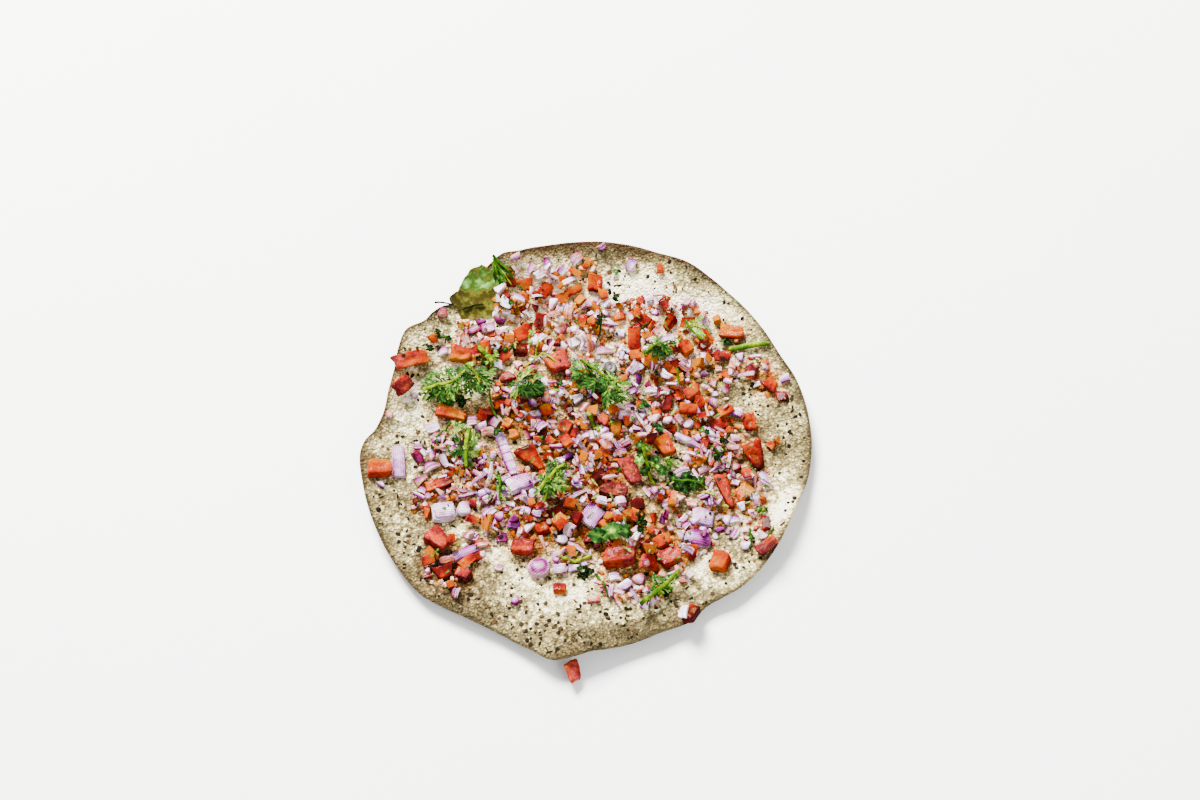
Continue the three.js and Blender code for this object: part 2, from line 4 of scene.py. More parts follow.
import bpy
import numpy as np
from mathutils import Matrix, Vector


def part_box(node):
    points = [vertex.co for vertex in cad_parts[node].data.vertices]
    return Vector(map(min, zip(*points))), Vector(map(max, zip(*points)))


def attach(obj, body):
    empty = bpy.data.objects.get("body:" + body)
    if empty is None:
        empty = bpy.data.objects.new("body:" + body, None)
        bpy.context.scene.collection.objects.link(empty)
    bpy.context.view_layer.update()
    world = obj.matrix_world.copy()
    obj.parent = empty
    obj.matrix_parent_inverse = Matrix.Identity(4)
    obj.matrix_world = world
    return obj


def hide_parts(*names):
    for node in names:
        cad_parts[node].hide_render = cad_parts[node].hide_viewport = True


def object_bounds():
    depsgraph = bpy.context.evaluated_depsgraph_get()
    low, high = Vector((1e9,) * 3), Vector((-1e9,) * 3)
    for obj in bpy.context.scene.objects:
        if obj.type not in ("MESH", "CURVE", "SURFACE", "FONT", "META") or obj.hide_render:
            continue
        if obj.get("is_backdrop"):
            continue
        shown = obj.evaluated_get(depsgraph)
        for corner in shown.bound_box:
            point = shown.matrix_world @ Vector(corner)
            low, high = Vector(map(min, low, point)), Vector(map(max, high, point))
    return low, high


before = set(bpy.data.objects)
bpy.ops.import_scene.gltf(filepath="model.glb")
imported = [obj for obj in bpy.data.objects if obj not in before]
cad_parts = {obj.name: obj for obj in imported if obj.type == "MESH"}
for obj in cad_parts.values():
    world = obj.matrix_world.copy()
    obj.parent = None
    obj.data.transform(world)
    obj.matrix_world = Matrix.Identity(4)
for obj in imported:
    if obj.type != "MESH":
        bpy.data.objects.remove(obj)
solid_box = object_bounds()

MM = 0.001
UPRIGHT = np.array([0, 0, 1.0])
ALONG_X = (0, math.radians(90), 0)  # lays an upright shape down along X
GOLDEN_TURN = math.pi * (3 - math.sqrt(5))  # in radians, spreads things evenly round a middle
PLAN_SHIFT = np.array([-0.6196, 1.9267, 0.0])  # from the wafer's own middle to the origin, mm

# The wafer's form, in mm, as in its solid
RADIUS = 95.0
THICKNESS = 1.5
RIM = np.array([  # angle from +X in degrees, radius as a share of RADIUS, height of the edge
    (0, 0.996, 6), (10, 1, 6.5), (20, 1, 7), (28, 0.983, 8), (37, 0.992, 8), (45, 1.005, 8), (53, 1.01, 8),
    (61, 1.01, 9), (69, 1.01, 9.5), (77, 1.025, 10), (86, 1.015, 12), (95, 1.01, 13), (103, 1, 14),
    (108, 1, 14), (112, 1.015, 13), (116, 1, 11), (119, 0.984, 10), (122, 0.983, 10), (126, 0.946, 9),
    (130, 0.935, 8), (133, 0.952, 8), (136, 0.958, 8), (140, 0.95, 9), (145, 0.98, 10), (151, 0.955, 11),
    (157, 0.92, 12), (164, 0.904, 12), (170, 0.9, 11), (175, 0.925, 9), (178, 0.965, 8), (182, 0.985, 7),
    (190, 0.98, 5), (202, 0.975, 4), (214, 0.973, 3.5), (224, 0.97, 3.8), (231, 0.946, 4), (238, 0.925, 4.2),
    (247, 0.922, 4.5), (256, 0.949, 5), (262, 0.983, 5.3), (266, 0.973, 5.5), (272, 0.939, 5),
    (281, 0.921, 4.5), (291, 0.908, 4.2), (300, 0.914, 4), (305, 0.895, 4.3), (309, 0.902, 4.6),
    (315, 0.925, 5), (324, 0.94, 5.3), (333, 0.948, 5.7), (342, 0.955, 6), (351, 0.981, 6),
])
CURL_POWER = 9
DISH_HEIGHT = 5.0
DISH_SINK = 1.2
SWELLS = [  # x, y, radius, height
    (-5, -76, 17, 3.5), (84, -42, 17, 3.2), (90, -12, 14, -2.4), (42, 84, 13, 2.6), (22, 80, 12, -1.4),
    (-82, -34, 20, 1.8), (-62, 60, 10, -1.2), (-58, 14, 15, 2.0), (-40, -64, 18, 1.6), (60, 27, 13, 1.8),
    (2, 19, 10, 1.8), (26, -16, 9, 1.8),
]
RIPPLES = [(5, 0.6, 0.9), (9, 2.1, 0.6), (14, 4.0, 0.45)]  # waves per turn, phase, height at the rim
BLISTER_SEED = 41
BLISTER_COUNT = 150
BLISTER_RADIUS = (2.5, 5)
BLISTER_HEIGHT = (0.4, 1.1)

# The wafer's fine skin
NET_CUTS = (18, 5)  # two rounds of cuts from six triangles
NET_POWER = 0.95
PIMPLE_SPAN = 110  # how far the small bubbles reach from the middle
PIMPLE_PITCH = 1.95
PIMPLE_RADIUS = (0.8, 1.5)
PIMPLE_HEIGHT = (0.08, 0.55)
SPICE_CLUSTERS = 210
SPICE_ALONE = 900
# Partly the dough's own tone and partly painted light: the pale patches hold painted highlight where the
# wafer faces the light, the khaki ones painted shade where it faces away, as on the far rim's inner wall.
TONE_AND_LIGHT_PATCHES = [  # x, y, radius along X, radius along Y, strength; a negative one is khaki
    (19, 76, 15, 10, 1.7), (53, 66, 18, 12, 1.5), (-11, 66, 8, 5, 1.3), (-15, 75.5, 6, 4, 1.0),
    (-74, 51, 8, 9, 0.7), (-62, 60, 8, 9, 0.2), (83, -28, 11, 13, 1.5), (-5, -68, 13, 13, 0.8),
    (51, -55, 12, 7, 1.2), (-33, -46, 10, 7, 0.9), (-71, 14, 9, 12, 1.0), (-52, 36, 12, 8, 0.7),
    (62, 30, 7, 8, 0.2), (8, 19, 9, 4, 0.6), (20, -72, 9, 6, 0.5), (84, 5, 9, 18, -0.1),
    (72, 62, 10, 12, -0.2), (60, -66, 20, 8, -0.5), (15, -82, 28, 9, -0.9), (-40, -72, 20, 9, -0.5),
    (-80, -28, 10, 18, -0.2), (-80, 24, 9, 18, 0.6), (27, -17, 8, 6, -0.5), (-23, 98, 22, 6, -1.4),
    (25, 95, 18, 6, -1.1), (58, 80, 14, 7, -0.5), (40, -28, 8, 7, -0.5), (32, -77, 12, 8, -0.7),
    (-52, -64, 12, 8, -0.7), (-60, -52, 10, 8, -0.7), (-72, 24, 6, 5, 0.5), (-8, -84, 16, 6, -0.5),
    (-22, -62, 14, 8, 0.7),
]
# Partly toasted and partly painted shade, where the rim's inner wall faces away from the light.
TOAST_AND_SHADE_PATCHES = [  # the same, where the rim's inner wall is brown
    (-22, 98, 20, 9, 1.0), (-88, 25, 9, 22, 0.55), (12, 98, 16, 7, 0.8), (42, 92, 16, 7, 0.7),
    (-76, -52, 14, 12, 0.3), (80, -48, 12, 10, 0.25), (-92, -5, 7, 10, 0.6),
]
JUICE_PATCHES = [  # x, y, radius: brown juice on the wafer beside the salad
    (-54, -57, 14), (-50, 21, 6), (-36, 12, 9), (76, 30, 8), (4, -40, 11), (-20, -38, 11), (66, -20, 8),
    (-8, -33, 9), (22, -34, 8), (-30, -25, 8), (30, -44, 9), (-48, -8, 13), (-48, 46, 8),
]

# The salad, as in its solid
CLUMPS = [  # x, y, radius, share of tomato
    (-24, 86, 12, 0.3), (-8, 84, 12, 0.4), (-28, 74, 9, 0.7), (-15, 72, 8, 0.4), (1, 64, 11, 0.7),
    (-42, 61, 11, 0.1), (-28, 59, 11, 0.5), (-13, 58, 11, 0.3), (18, 62, 11, 0.5), (30, 62, 11, 0.5),
    (43, 59, 10, 0.5), (-46, 50, 10, 0.3), (-31, 45, 12, 0.7), (-6, 48, 11, 0.3), (9, 46, 11, 0.1),
    (22, 47, 9, 0.3), (35, 50, 11, 0.2), (47, 45, 10, 0.6), (68, 42, 9, 0.2), (80, 34, 10, 0.5),
    (-28, 32, 11, 0.5), (-13, 31, 10, 0.4), (3, 32, 9, 0.2), (24, 34, 9, 0.3), (45, 30, 12, 0.7),
    (56, 32, 9, 0.2), (34, 21, 9, 0.4), (-30, 16, 11, 0.5), (-15, 12, 12, 0.4), (5, 8, 12, 0.3),
    (17, 11, 9, 0.4), (29, 9, 10, 0.3), (46, 13, 11, 0.4), (58, 11, 10, 0.6), (61, 0, 11, 0.3),
    (-57, 8, 9, 0.05), (-60, -6, 9, 0.2), (-44, -6, 10, 0.3), (-16, -4, 11, 0.3), (2, -4, 12, 0.2),
    (15, -2, 10, 0.4), (-28, -15, 10, 0.1), (8, -17, 12, 0.6), (49, -4, 10, 0.2), (66, -14, 11, 0.2),
    (-61, -24, 10, 0.4), (-49, -23, 8, 0.4), (-39, -26, 7, 0.1), (-31, -33, 9, 0.2), (-19, -33, 10, 0.5),
    (-6, -28, 12, 0.5), (5, -32, 11, 0.6), (19, -27, 8, 0.4), (31, -23, 8, 0.1), (33, -35, 9, 0.4),
    (45, -37, 9, 0.1), (54, -27, 9, 0.1), (67, -30, 10, 0.2), (-47, -44, 7, 0.1), (-56, -52, 9, 0.5),
    (-4, -48, 8, 0.2), (17, -46, 11, 0.6), (34, -46, 9, 0.4), (15, -58, 9, 0.2), (25, -61, 8, 0.3),
]
HEAP_EDGE = 0.42
DICE_PER_MM2 = 0.006
ONION_DICE = ((4.2, 6.6), (3.4, 4.8), (1.8, 2.6))  # length, width, height of the dice in the solid
TOMATO_DICE = ((5.0, 7.4), (4.2, 5.8), (2.8, 4.0))
SMALL_PER_MM2 = 0.125  # the finer bits between them
SMALL_ONION = ((2.4, 7.2), (1.8, 4.8), (0.8, 1.8))
SMALL_TOMATO = ((2.6, 8.0), (2.2, 5.6), (1.1, 2.4))
ONION_SLIVER = ((4.5, 9.5), (1.3, 2.4), (0.8, 1.4))
MASH = ((1.6, 3.8), (1.2, 2.8), (0.6, 1.3))  # the crumbs under all the rest
MASH_PER_MM2 = 0.12
HEAP_DEPTH = 4.2  # where no more is added
# Painted light: the bits from here on are lighter because more light falls on the far side.
FAR_SIDE = 40  # from this y on, the bits are lighter
LOOSE_BITS = [  # x, y, length, width, height, turn, kind, tint
    (7, 94, 5, 4, 2.4, 20, "onion", 0.8), (20, 88, 6, 4.5, 2.4, 60, "onion", 0.5),
    (33, 84, 5, 4, 3, 80, "tomato", 0.1), (-61.8, 63, 6, 5, 2.6, 10, "onion", 0.6),
    (-10, -62, 5.5, 5, 4, 0, "tomato", 0.35), (-28, -67, 5, 4, 3, 70, "onion", 0.75),
    (-52, -64, 5, 4, 3, 80, "onion", 0.6), (4, -67, 7, 5, 2.4, 15, "onion", 0.1),
    (13, -67, 8, 2.6, 2, -70, "onion", 0.6), (80, 3, 4.5, 4, 3, 40, "tomato", 0.1),
    (-82, 14, 5, 4, 2, 10, "onion", 0.5), (-84, -17, 4, 4, 2, 30, "onion", 0.5),
    (42, -56, 4.5, 4.5, 2.6, 50, "onion", 0.1), (-70, -3, 6, 4.5, 2.6, -50, "onion", 0.85),
    (-65, 51, 5, 4, 3, 20, "tomato", 0.2), (-9, 69, 4, 3.5, 2, 60, "onion", 0.2),
    (57, 43, 6, 5, 3, 100, "tomato", 0.6), (-35, -52, 3.5, 3, 1.8, 0, "onion", 0.2),
    (38, 20, 4, 3.4, 2, 30, "onion", 0.3), (-72, 24, 4, 3, 1.8, 75, "onion", 0.3),
]

# The larger pieces, in the order of their seeds
TOMATO_SEED = 60
ONION_SEED = 90

# Tints run from 0 to 1: tomato from orange over red to dark red, onion from white over lilac to purple.
# The pulp of a tomato piece is how far its cut faces are pale and peach-coloured.
# Its taper is how far one end narrows.
LARGE_TOMATO = {  # length, width, height, turn, tint, pulp, taper
    "tomato_middle_left": (12, 10, 6, 20, 0.4, 1.0, 0.1),
    "tomato_strip_left_rim": (19, 8, 4.5, 27, 0.3, 1.0, 0.1),
    "tomato_left_rim": (10, 7, 4.5, 50, 0.6, 0.3, 0.2),
    "tomato_upper_left": (10, 8, 5, -10, 0.25, 0.4, 0.3),
    "tomato_strip_left": (15, 5, 4, -12, 0.22, 0.8, 0.45),
    "tomato_far_left": (11, 7, 5.5, 4, 0.3, 1.0, 0.1), "tomato_red_left": (13, 5, 4, 18, 0.6, 1.0, 0.3),
    "tomato_wedge_middle": (14, 8, 4, -52, 0.5, 0.0, 0.7),
    "tomato_slice_middle": (14, 8, 3, -64, 0.6, 1.0, 0.4),
    "tomato_dark_middle": (13, 8, 4.5, -20, 0.84, 0.9, 0.2),
    "tomato_orange_right": (10, 7, 4, -60, 0.22, 0.0, 0.2),
    "tomato_right_upper": (9, 6, 4, 100, 0.48, 0.0, 0.1),
    "tomato_right_lower": (15, 8, 4.9, -75, 0.68, 0.0, 0.5),
    "tomato_strip_right": (18, 5, 4, -76, 0.55, 0.5, 0.6),
    "tomato_near_middle": (15, 10, 7, 0, 0.6, 0.6, 0.2),
    "tomato_near_right": (11, 8, 4.5, 30, 0.4, 0.8, 0.2),
    "tomato_orange_near_right": (9, 8, 5.5, 70, 0.36, 0.3, 0.1),
    "tomato_strip_near_right": (11, 4, 4, 35, 0.48, 0.7, 0.3),
    "tomato_near_left": (11, 7, 5.5, -8, 0.6, 0.6, 0.1),
    "tomato_low_left": (11, 8, 5.5, -40, 0.5, 0.7, 0.2), "tomato_near_rim": (9, 6, 5, 60, 0.86, 0.0, 0.2),
    "tomato_peach_far_right": (12, 7, 4, -14, 0.2, 0.4, 0.3),
    "tomato_orange_far": (9, 6.5, 4, 88, 0.34, 0.0, 0.0),
    "tomato_fallen": (10, 6.5, 6, -72, 0.34, 1.6, 0.2),
}
LARGE_ONION = {  # length, width, height, turn, bend, tint, its change along X, rounding of the ends
    "onion_strip_middle": (20, 4.2, 2.2, -70, 0.2, 0.38, 0.1, 0.0),
    "onion_plate_middle": (10, 7.5, 2.8, 25, 0.8, 0.3, 0.5, 0.0),
    "onion_strip_left": (14, 5, 2.4, -84, 0.4, 0.25, 0.1, 0.0),
    "onion_block_left": (9, 8.5, 4, 10, 0.8, 0.1, 0.1, 0.2),
    "onion_strip_right": (13, 3, 2, -30, 1.4, 0.3, 0.2, 0.3),
    "onion_diamond_near": (9, 8, 2.4, 50, 0.6, 0.35, 0.2, 0.0),
    "onion_curl_near_right": (11, 6.5, 3.4, -12, 1.6, 0.58, 0.8, 0.6),
    "onion_plate_right": (9, 7, 2.6, -10, 1.0, 0.2, 0.2, 0.3),
    "onion_near_left": (8.5, 7.5, 4, 30, 1.2, 0.42, 0.15, 0.8),
    "onion_strip_low_left": (13, 4, 2, 28, 1.0, 0.45, 0.3, 0.4),
}
PLACED_TOMATO = [  # x, y, length, width, turn, tint
    (-47, 45, 5, 4, 30, 0.45), (-33, 35.5, 10, 5, 10, 0.6), (-26.5, 56, 9, 7, 20, 0.4),
    (-28, 47.5, 7, 7, 0, 0.9), (-40.5, 54.5, 5, 4, 10, 0.4), (-45, 34.5, 6, 5, 0, 0.6),
    (-5, 77, 8, 5, 30, 0.0), (-1.5, 62.5, 8, 5, 80, 0.4), (24, 71, 7, 4, 80, 0.45),
    (36, 60.5, 9, 8, -20, 0.5), (21, 54, 12, 6, 85, 0.45), (15, 64, 6, 5, 10, 0.2),
    (26, 62, 7, 5, 40, 0.45), (44, 60.5, 8, 5, 0, 0.25), (43, 49, 8, 7, 30, 0.2), (57, 61, 5, 4, 0, 0.02),
    (51, 54.5, 6, 5, 60, 0.4), (60, 44, 5, 5, 0, 0.45), (71, 37, 8, 5, -30, 0.7),
    (79, 30, 7, 6, -40, 0.4), (83, 24, 6, 5, 0, 0.75), (45.5, 27.5, 9, 7, 30, 0.3),
    (34.5, 22.5, 7, 5, 80, 0.65), (23, 22, 5, 3, 90, 0.4), (56, 13, 8, 6, 10, 0.5),
    (60.5, 10.5, 4, 3, 20, 0.02), (48.5, 12, 5, 4, 0, 0.8), (78, 3, 5, 4, 60, 0.25),
    (36.5, 11, 4, 4, 0, 0.4), (12.5, 10, 10, 5, 80, 0.15), (-8, 11.5, 8, 6, 70, 0.4),
    (-15, 5, 6, 5, 40, 0.4), (-29.5, 8.5, 6, 5, 20, 0.05), (-65, -29, 5, 5, 0, 0.4),
    (-46.5, -23.5, 4, 4, 0, 0.7), (-17.5, -35.5, 7, 6, 20, 0.45), (3, -38, 11, 6, 10, 0.95),
    (66, -19.5, 8, 7, 30, 0.1), (28.5, -30, 5, 5, 0, 0.4), (32, -40, 9, 6, 20, 0.35),
    (25.5, -50, 8, 7, 0, 0.4), (74.5, -34, 7, 4, 90, 0.75), (-55, -42, 6, 5, 0, 0.6),
    (-57, -55, 9, 6, 20, 0.75), (-49, -56, 8, 6, -20, 0.7), (-12, -27, 7, 6, 30, 0.75),
    (6, -12, 7, 5, 20, 0.8), (22, -24, 8, 6, 0, 0.9), (-3, -30, 8, 6, 60, 0.8), (-26, 78, 8, 6, 20, 0.4),
    (-18, 76, 7, 6, 60, 0.3), (-33, 79, 6, 5, 0, 0.5), (-10, 73, 6, 5, 0, 0.2), (-36, 44, 8, 6, 40, 0.7),
    (-20, 62, 8, 5, 70, 0.6), (-41, 18.5, 9, 5, 10, 0.72), (-37, 21.5, 6, 4, 40, 0.5),
    (-33, 13, 6, 5, 60, 0.55), (-43.5, 16, 5, 4, -20, 0.35),
]
PLACED_ONION = [  # x, y, length, width, turn, tint
    (-31, -23.5, 8, 3, -20, 0.05), (-48.5, -19.5, 11, 1.8, 20, 0.75), (-1.5, -18, 10, 2.4, 24, 0.35),
    (10, -13, 9, 2, 30, 0.4), (-50, -26, 8, 7, 10, 0.3), (-39.5, -27.5, 7, 6, 40, 0.35),
    (-64, -7, 8, 6, 20, 0.8), (-54.5, 8, 7, 6, 0, 0.15), (-64, 10.5, 6, 5, 20, 0.1),
    (-29, -32, 8, 6, 70, 0.95), (-34, -38.5, 6, 5, 0, 0.9), (-7.5, -2.5, 6, 5, 40, 1.0),
    (-22, -34, 6, 4, 30, 0.05), (-10, -39.5, 7, 4.5, 10, 0.1), (-6, -35, 6, 5, 60, 0.1),
    (-42, -42, 8, 5, 20, 0.35), (-55, -49, 9, 4, 10, 0.45), (-4, -52, 6, 5, 0, 0.15),
    (-37.5, 40.5, 6, 5, 0, 0.05), (-28.5, 40.5, 5, 5, 30, 0.05), (-60, 45.5, 5, 5, 0, 0.5),
    (-47.8, 56.7, 7, 4, 30, 0.65), (-45, 60, 6, 4, 20, 0.9), (-42, 57.5, 7, 5, 30, 0.6),
    (-37, 62, 6, 4, -20, 0.9), (-35, 57, 5, 5, 0, 0.05), (-15.5, 52.5, 7, 3, 80, 0.85),
    (-10.5, 58.5, 7, 6, 60, 0.45), (-21.5, 68, 5, 4, 0, 0.95), (-30, 88, 6, 4.5, 20, 0.7),
    (-24, 84, 6, 4.5, 60, 0.55), (-17, 88, 7, 5, 10, 0.8), (-10, 85, 6, 5, 40, 0.6),
    (-4, 90, 7, 6, 30, 0.35), (15, 56, 6, 5, 0, 0.1), (35, 52.5, 9, 6, 10, 0.1),
    (31, 63.5, 5, 4, 30, 0.5), (8.5, 48, 9, 5, 0, 0.45), (10, 40, 8, 7, 0, 0.3),
    (22.5, 34, 7, 4, 80, 0.9), (27, 31, 5, 4, 40, 0.85), (66.5, 43, 6, 5, 0, 0.45),
    (57, 38.5, 4, 4, 0, 0.1), (85, 32, 6, 5, 20, 0.6), (76, 37, 5, 4, 60, 0.3), (51, 36, 5, 4, 20, 0.5),
    (55, 32, 5, 4, 60, 0.4), (55, 27, 5, 4, 0, 0.3), (44, 13, 5, 5, 40, 0.1), (63, 6, 5, 5, 0, 0.15),
    (17, 4, 7, 5, 30, 0.75), (63.5, -7, 7, 5, 80, 0.75), (52, -13, 5, 4, 30, 0.4),
    (44.5, -24, 6, 5, 0, 0.02), (64.5, -25.5, 6, 5, 10, 0.05), (55.5, -35, 5, 3, 20, 0.9),
    (62, -31, 5, 4, 0, 0.8), (61.5, -37, 5, 4, 60, 0.8), (35, -34, 10, 3, -70, 0.1),
    (38, -31, 9, 2.4, -74, 0.15), (31.5, -31, 6, 4, 80, 1.0), (72.5, -39, 6, 5, 20, 0.02),
    (66, -43, 6, 4, 10, 0.05), (66.5, -36, 5, 4, 0, 0.1), (16, -60, 7, 5, 30, 0.4),
    (22, -57, 7, 5, -20, 0.45), (12, -56, 6, 5, 10, 0.3), (40, -57, 5, 4.5, 0, 0.05),
    (-68, -13, 7, 5, 40, 0.6), (-70, 2, 5, 4, 0, 0.6), (2, 42, 5, 5, 0, 0.1), (-3, 25, 7, 5, 20, 0.05),
    (-19, 37, 5, 4, 0, 0.5), (-5, 52, 6, 5, 40, 0.1), (4, 55, 5, 4, 0, 0.4), (49, -8, 6, 4, 20, 0.4),
    (24.5, -51.5, 5, 4, 30, 0.5), (-43.5, 12, 7, 5, 20, 0.6), (-47, 13.5, 6, 5, 0, 0.35),
    (-38, 14.5, 6, 5, 50, 0.5), (-41, 9.5, 6, 4, 10, 0.2), (33, -29.5, 7, 3.4, 75, 1.0),
    (48.5, -39, 5, 3.5, 20, 0.9), (-28.5, -31.5, 7, 4.5, 50, 1.0), (40, -73.5, 7, 4.5, 75, 0.0),
]

# Coriander: x, y, length, width, turn, leaflets, tint from dark to bright green
FEATHERY_SPRIGS = [
    (-59, 27, 21, 16, 192, 16, 0.48), (-46, 29, 17, 14, -25, 13, 0.42), (-24, 25, 18, 12, 8, 10, 0.38),
    (1, 30.5, 20, 12, 152, 13, 0.35), (12, 23.5, 17, 13, 40, 11, 0.45), (-50, 1, 20, 12, 100, 9, 0.5),
    (-13, -16, 20, 13, 62, 9, 0.5), (-36, 81, 10, 8, -60, 3, 0.35), (31, 44, 15, 10, 10, 7, 0.4),
    (48, 56, 11, 8, -50, 5, 0.75), (-39, 42, 9, 6, 60, 4, 0.6), (31, -62, 21, 8, 44, 5, 0.55),
]
SPRIGS = [
    (-54, 24, 13, 10, 192, 5, 0.25), (-22, 26, 15, 9, 8, 7, 0.15), (5, 29, 14, 8, 150, 5, 0.2),
    (-13, -16, 17, 10, 62, 7, 0.35), (25, -6, 15, 10, -80, 8, 0.62), (32, -8, 13, 9, 20, 6, 0.6),
    (42, -15, 18, 9, 175, 9, 0.4), (31, -62, 18, 7, 44, 4, 0.35), (-61, 52, 8, 6, 20, 4, 0.1),
    (-67, 45, 5, 4, 0, 2, 0.15), (-62, 1, 6, 5, 30, 3, 0.2), (-35, -17, 12, 4, 100, 4, 0.45),
    (-23, 53, 9, 4, 80, 3, 0.9), (-33.5, 47.5, 6, 4, 10, 2, 0.1), (6, 60, 8, 6, 70, 3, 0.05),
    (13, 84, 4, 3, 20, 1, 0.6), (31, 45, 11, 7, 10, 5, 0.15), (30, 9, 5, 4, 0, 2, 0.5),
    (55, -3.5, 7, 8, 90, 5, 0.1), (50, 6, 5, 4, 0, 2, 0.5), (58, 2.5, 4, 3, 40, 2, 0.05),
    (23, -33, 9, 6, 100, 5, 0.1), (0, -54, 9, 7, 30, 6, 0.1), (73, -28, 6, 5, 60, 3, 0.6),
    (67, -40, 4, 3, 0, 1, 0.2), (36, -6, 8, 6, 10, 3, 0.8), (-31, 66, 4, 3, 40, 1, 0.5),
    (-12, 28, 6, 4, 60, 2, 0.2), (-36, 8, 5, 4, 20, 2, 0.2), (24, 20, 5, 4, 10, 2, 0.3),
    (-44, 41, 6, 4, 0, 2, 0.3), (13, 70, 4, 3, 30, 2, 0.1), (60, 50, 5, 4, 0, 2, 0.3),
]
FLAT_LEAFLETS = [  # x, y, length, width, turn, tint: the flat leaf near the middle of the near side
    (6, -39, 10, 6.5, 175, 0.6), (11, -38.2, 11, 7.2, 8, 0.72), (16.5, -38.5, 9, 6.2, -10, 0.5),
]
STEMS = [  # from x, y, to x, y, thickness, sideways bow, tint
    (-45.5, 46, -39, 38, 2.2, 0.5, 0.75), (-48, 6, -49, -10, 2.0, -0.6, 0.72),
    (-55, 60, -52, 53, 0.8, 0.4, 0.5), (-64.8, 66.5, -57, 67, 0.9, 0.5, -0.3),
    (-53, 65.2, -44, 68.3, 1.0, 0.3, -0.5), (-24, 44, -13, 40, 1.0, 1.6, 0.95),
    (7, 65, 4.5, 50, 0.9, 0.8, 0.0), (1, 15.5, 6, 7, 1.7, 0.2, 0.8), (-10, -48, 3, -46, 1.7, -2.0, 0.95),
    (5, -55, 9.5, -66, 1.2, 0.6, 0.3), (22.5, -70, 38.5, -54.5, 1.9, -1.0, 0.65),
    (48, -19.5, 59, -27, 1.0, 0.4, 0.95), (67.5, -36, 67.5, -45, 0.9, 0.2, 0.3),
    (77, -36, 74, -41, 0.8, 0.4, 0.4), (39, 36, 39, 28, 1.1, 0.3, 0.6), (43, 60, 50, 50, 1.0, -0.8, 0.55),
    (-68, 24, -50, 30, 1.4, -1.0, 0.85), (-52, 36, -44, 26, 1.1, 0.8, 0.7),
    (-37, 15, -40, 25, 1.0, 1.0, 0.5), (-2, 37, 14, 20, 1.2, 1.2, 0.5), (20, 30, 8, 26, 1.0, 0.6, 0.6),
    (-18, -22, -8, -10, 1.5, 0.8, 0.8), (24, -2, 29, -15, 1.4, -0.6, 0.8),
    (33, -14, 50, -17, 1.1, 0.8, 0.5), (-26, 37, -20, 50, 0.9, -1.2, 0.9),
    (25, 41, 38, 47, 1.0, 1.0, 0.5), (-40, 88, -31.5, 78.5, 1.4, 0.5, 0.42),
    (-39.7, 87, -33.8, 75.5, 1.3, 0.3, 0.35), (-39.6, 86.5, -36.5, 75.8, 1.2, -0.3, 0.5),
    (-39.8, 86, -39, 78, 1.1, -0.4, 0.4), (-38.5, 86, -30.5, 81, 1.1, 0.4, 0.3),
    (-38, 84, -32, 76.5, 0.7, 0.2, 0.85), (-62, 4, -56, 12, 1.0, 0.4, 0.4),
    (-36, -10, -35, -23, 1.1, 0.5, 0.5), (52, 1, 57, -8, 0.9, 0.5, 0.2),
]
GREEN_FLECKS = 280
LONG_STALK_SEAT = (19, 3.4, 1.7)  # length, width, height of the place that it takes up
LONG_STALK_SIZE = (18, 2.8, 1.8)
LONG_STALK_TURN = -1
RING_PLACE = (10.6, 38.0)
RING_SIZE = (6.4, 5.8, 5.0)
RIM_LEAF_MIDDLE = (-46.7, 72.8)
RIM_LEAF_REACH = (12, 10.5)
RIM_LEAF_TURN = 30

# Colours; those of a scale come with their place on it, from 0 to 1
WAFER_TONES = (
    (0.0, "332b19"), (0.12, "483e25"), (0.27, "605436"), (0.42, "82754c"), (0.57, "aea16e"),
    (0.72, "e1d4a0"), (0.86, "fff8dc"),
)
# Juice marks mixed with painted shade, under the salad and round its pieces.
JUICE_AND_SHADE = "d49454"
DEEP_JUICE_AND_SHADE = "a65f3a"
# Toasted brown mixed with painted shade, on the rim's inner wall.
TOAST_AND_SHADE = "4a3519"
PITS = "4a3c20"
SPICE_TONES = ((0.0, "0b0806"), (0.55, "18110a"), (0.8, "2e2012"), (1.0, "50361e"))
TOMATO_SKIN_TONES = (
    (0.0, "844600"), (0.18, "822d00"), (0.34, "7a1d01"), (0.5, "640f02"), (0.66, "4c0906"), (0.84, "380809"),
    (1.0, "260605"),
)
TOMATO_PULP_TONES = (
    (0.0, "965e06"), (0.18, "924210"), (0.42, "8e2b27"), (0.64, "6e1e2b"), (0.84, "4a161f"), (1.0, "2e0d10"),
)
SEED_GEL = "8a5600"
PULP_FLECKS = "bc6c2c"
ONION_TONES = (
    (0.0, "ded0de"), (0.13, "bca2bc"), (0.3, "9a709c"), (0.45, "844c86"), (0.58, "762c74"), (0.72, "661860"),
    (0.88, "480c3e"), (1.0, "28061f"),
)
ONION_JUICE = "cc843c"
CORIANDER_TONES = (
    (0.0, "081206"), (0.2, "0f240a"), (0.42, "1b3913"), (0.62, "2d501d"), (0.82, "4d6f20"), (1.0, "88a63c"),
)
STALK_TONES = ((0.0, "0b1505"), (0.3, "162d08"), (0.6, "264808"), (0.8, "405901"), (1.0, "72820b"))
PALE_LEAF_TONES = ((0.0, "302a0d"), (0.3, "5a5a1c"), (0.48, "2c4412"), (0.75, "5a8632"), (1.0, "94ba72"))
RING_TONES = ((0.0, "24241f"), (0.35, "3d3c3a"), (0.6, "67665f"), (0.85, "8e8f88"), (1.0, "4f6a38"))
FLOOR_TONES = ((0.3, "f4f3f1"), (0.7, "f8f7f5"))

# The photo's view: the camera stands towards the near side and looks down over the wafer
CAMERA_PLACE = np.array([6.3, -329.93, 729.16])
CAMERA_TILT = 26.0
CAMERA_LENS = 57.14

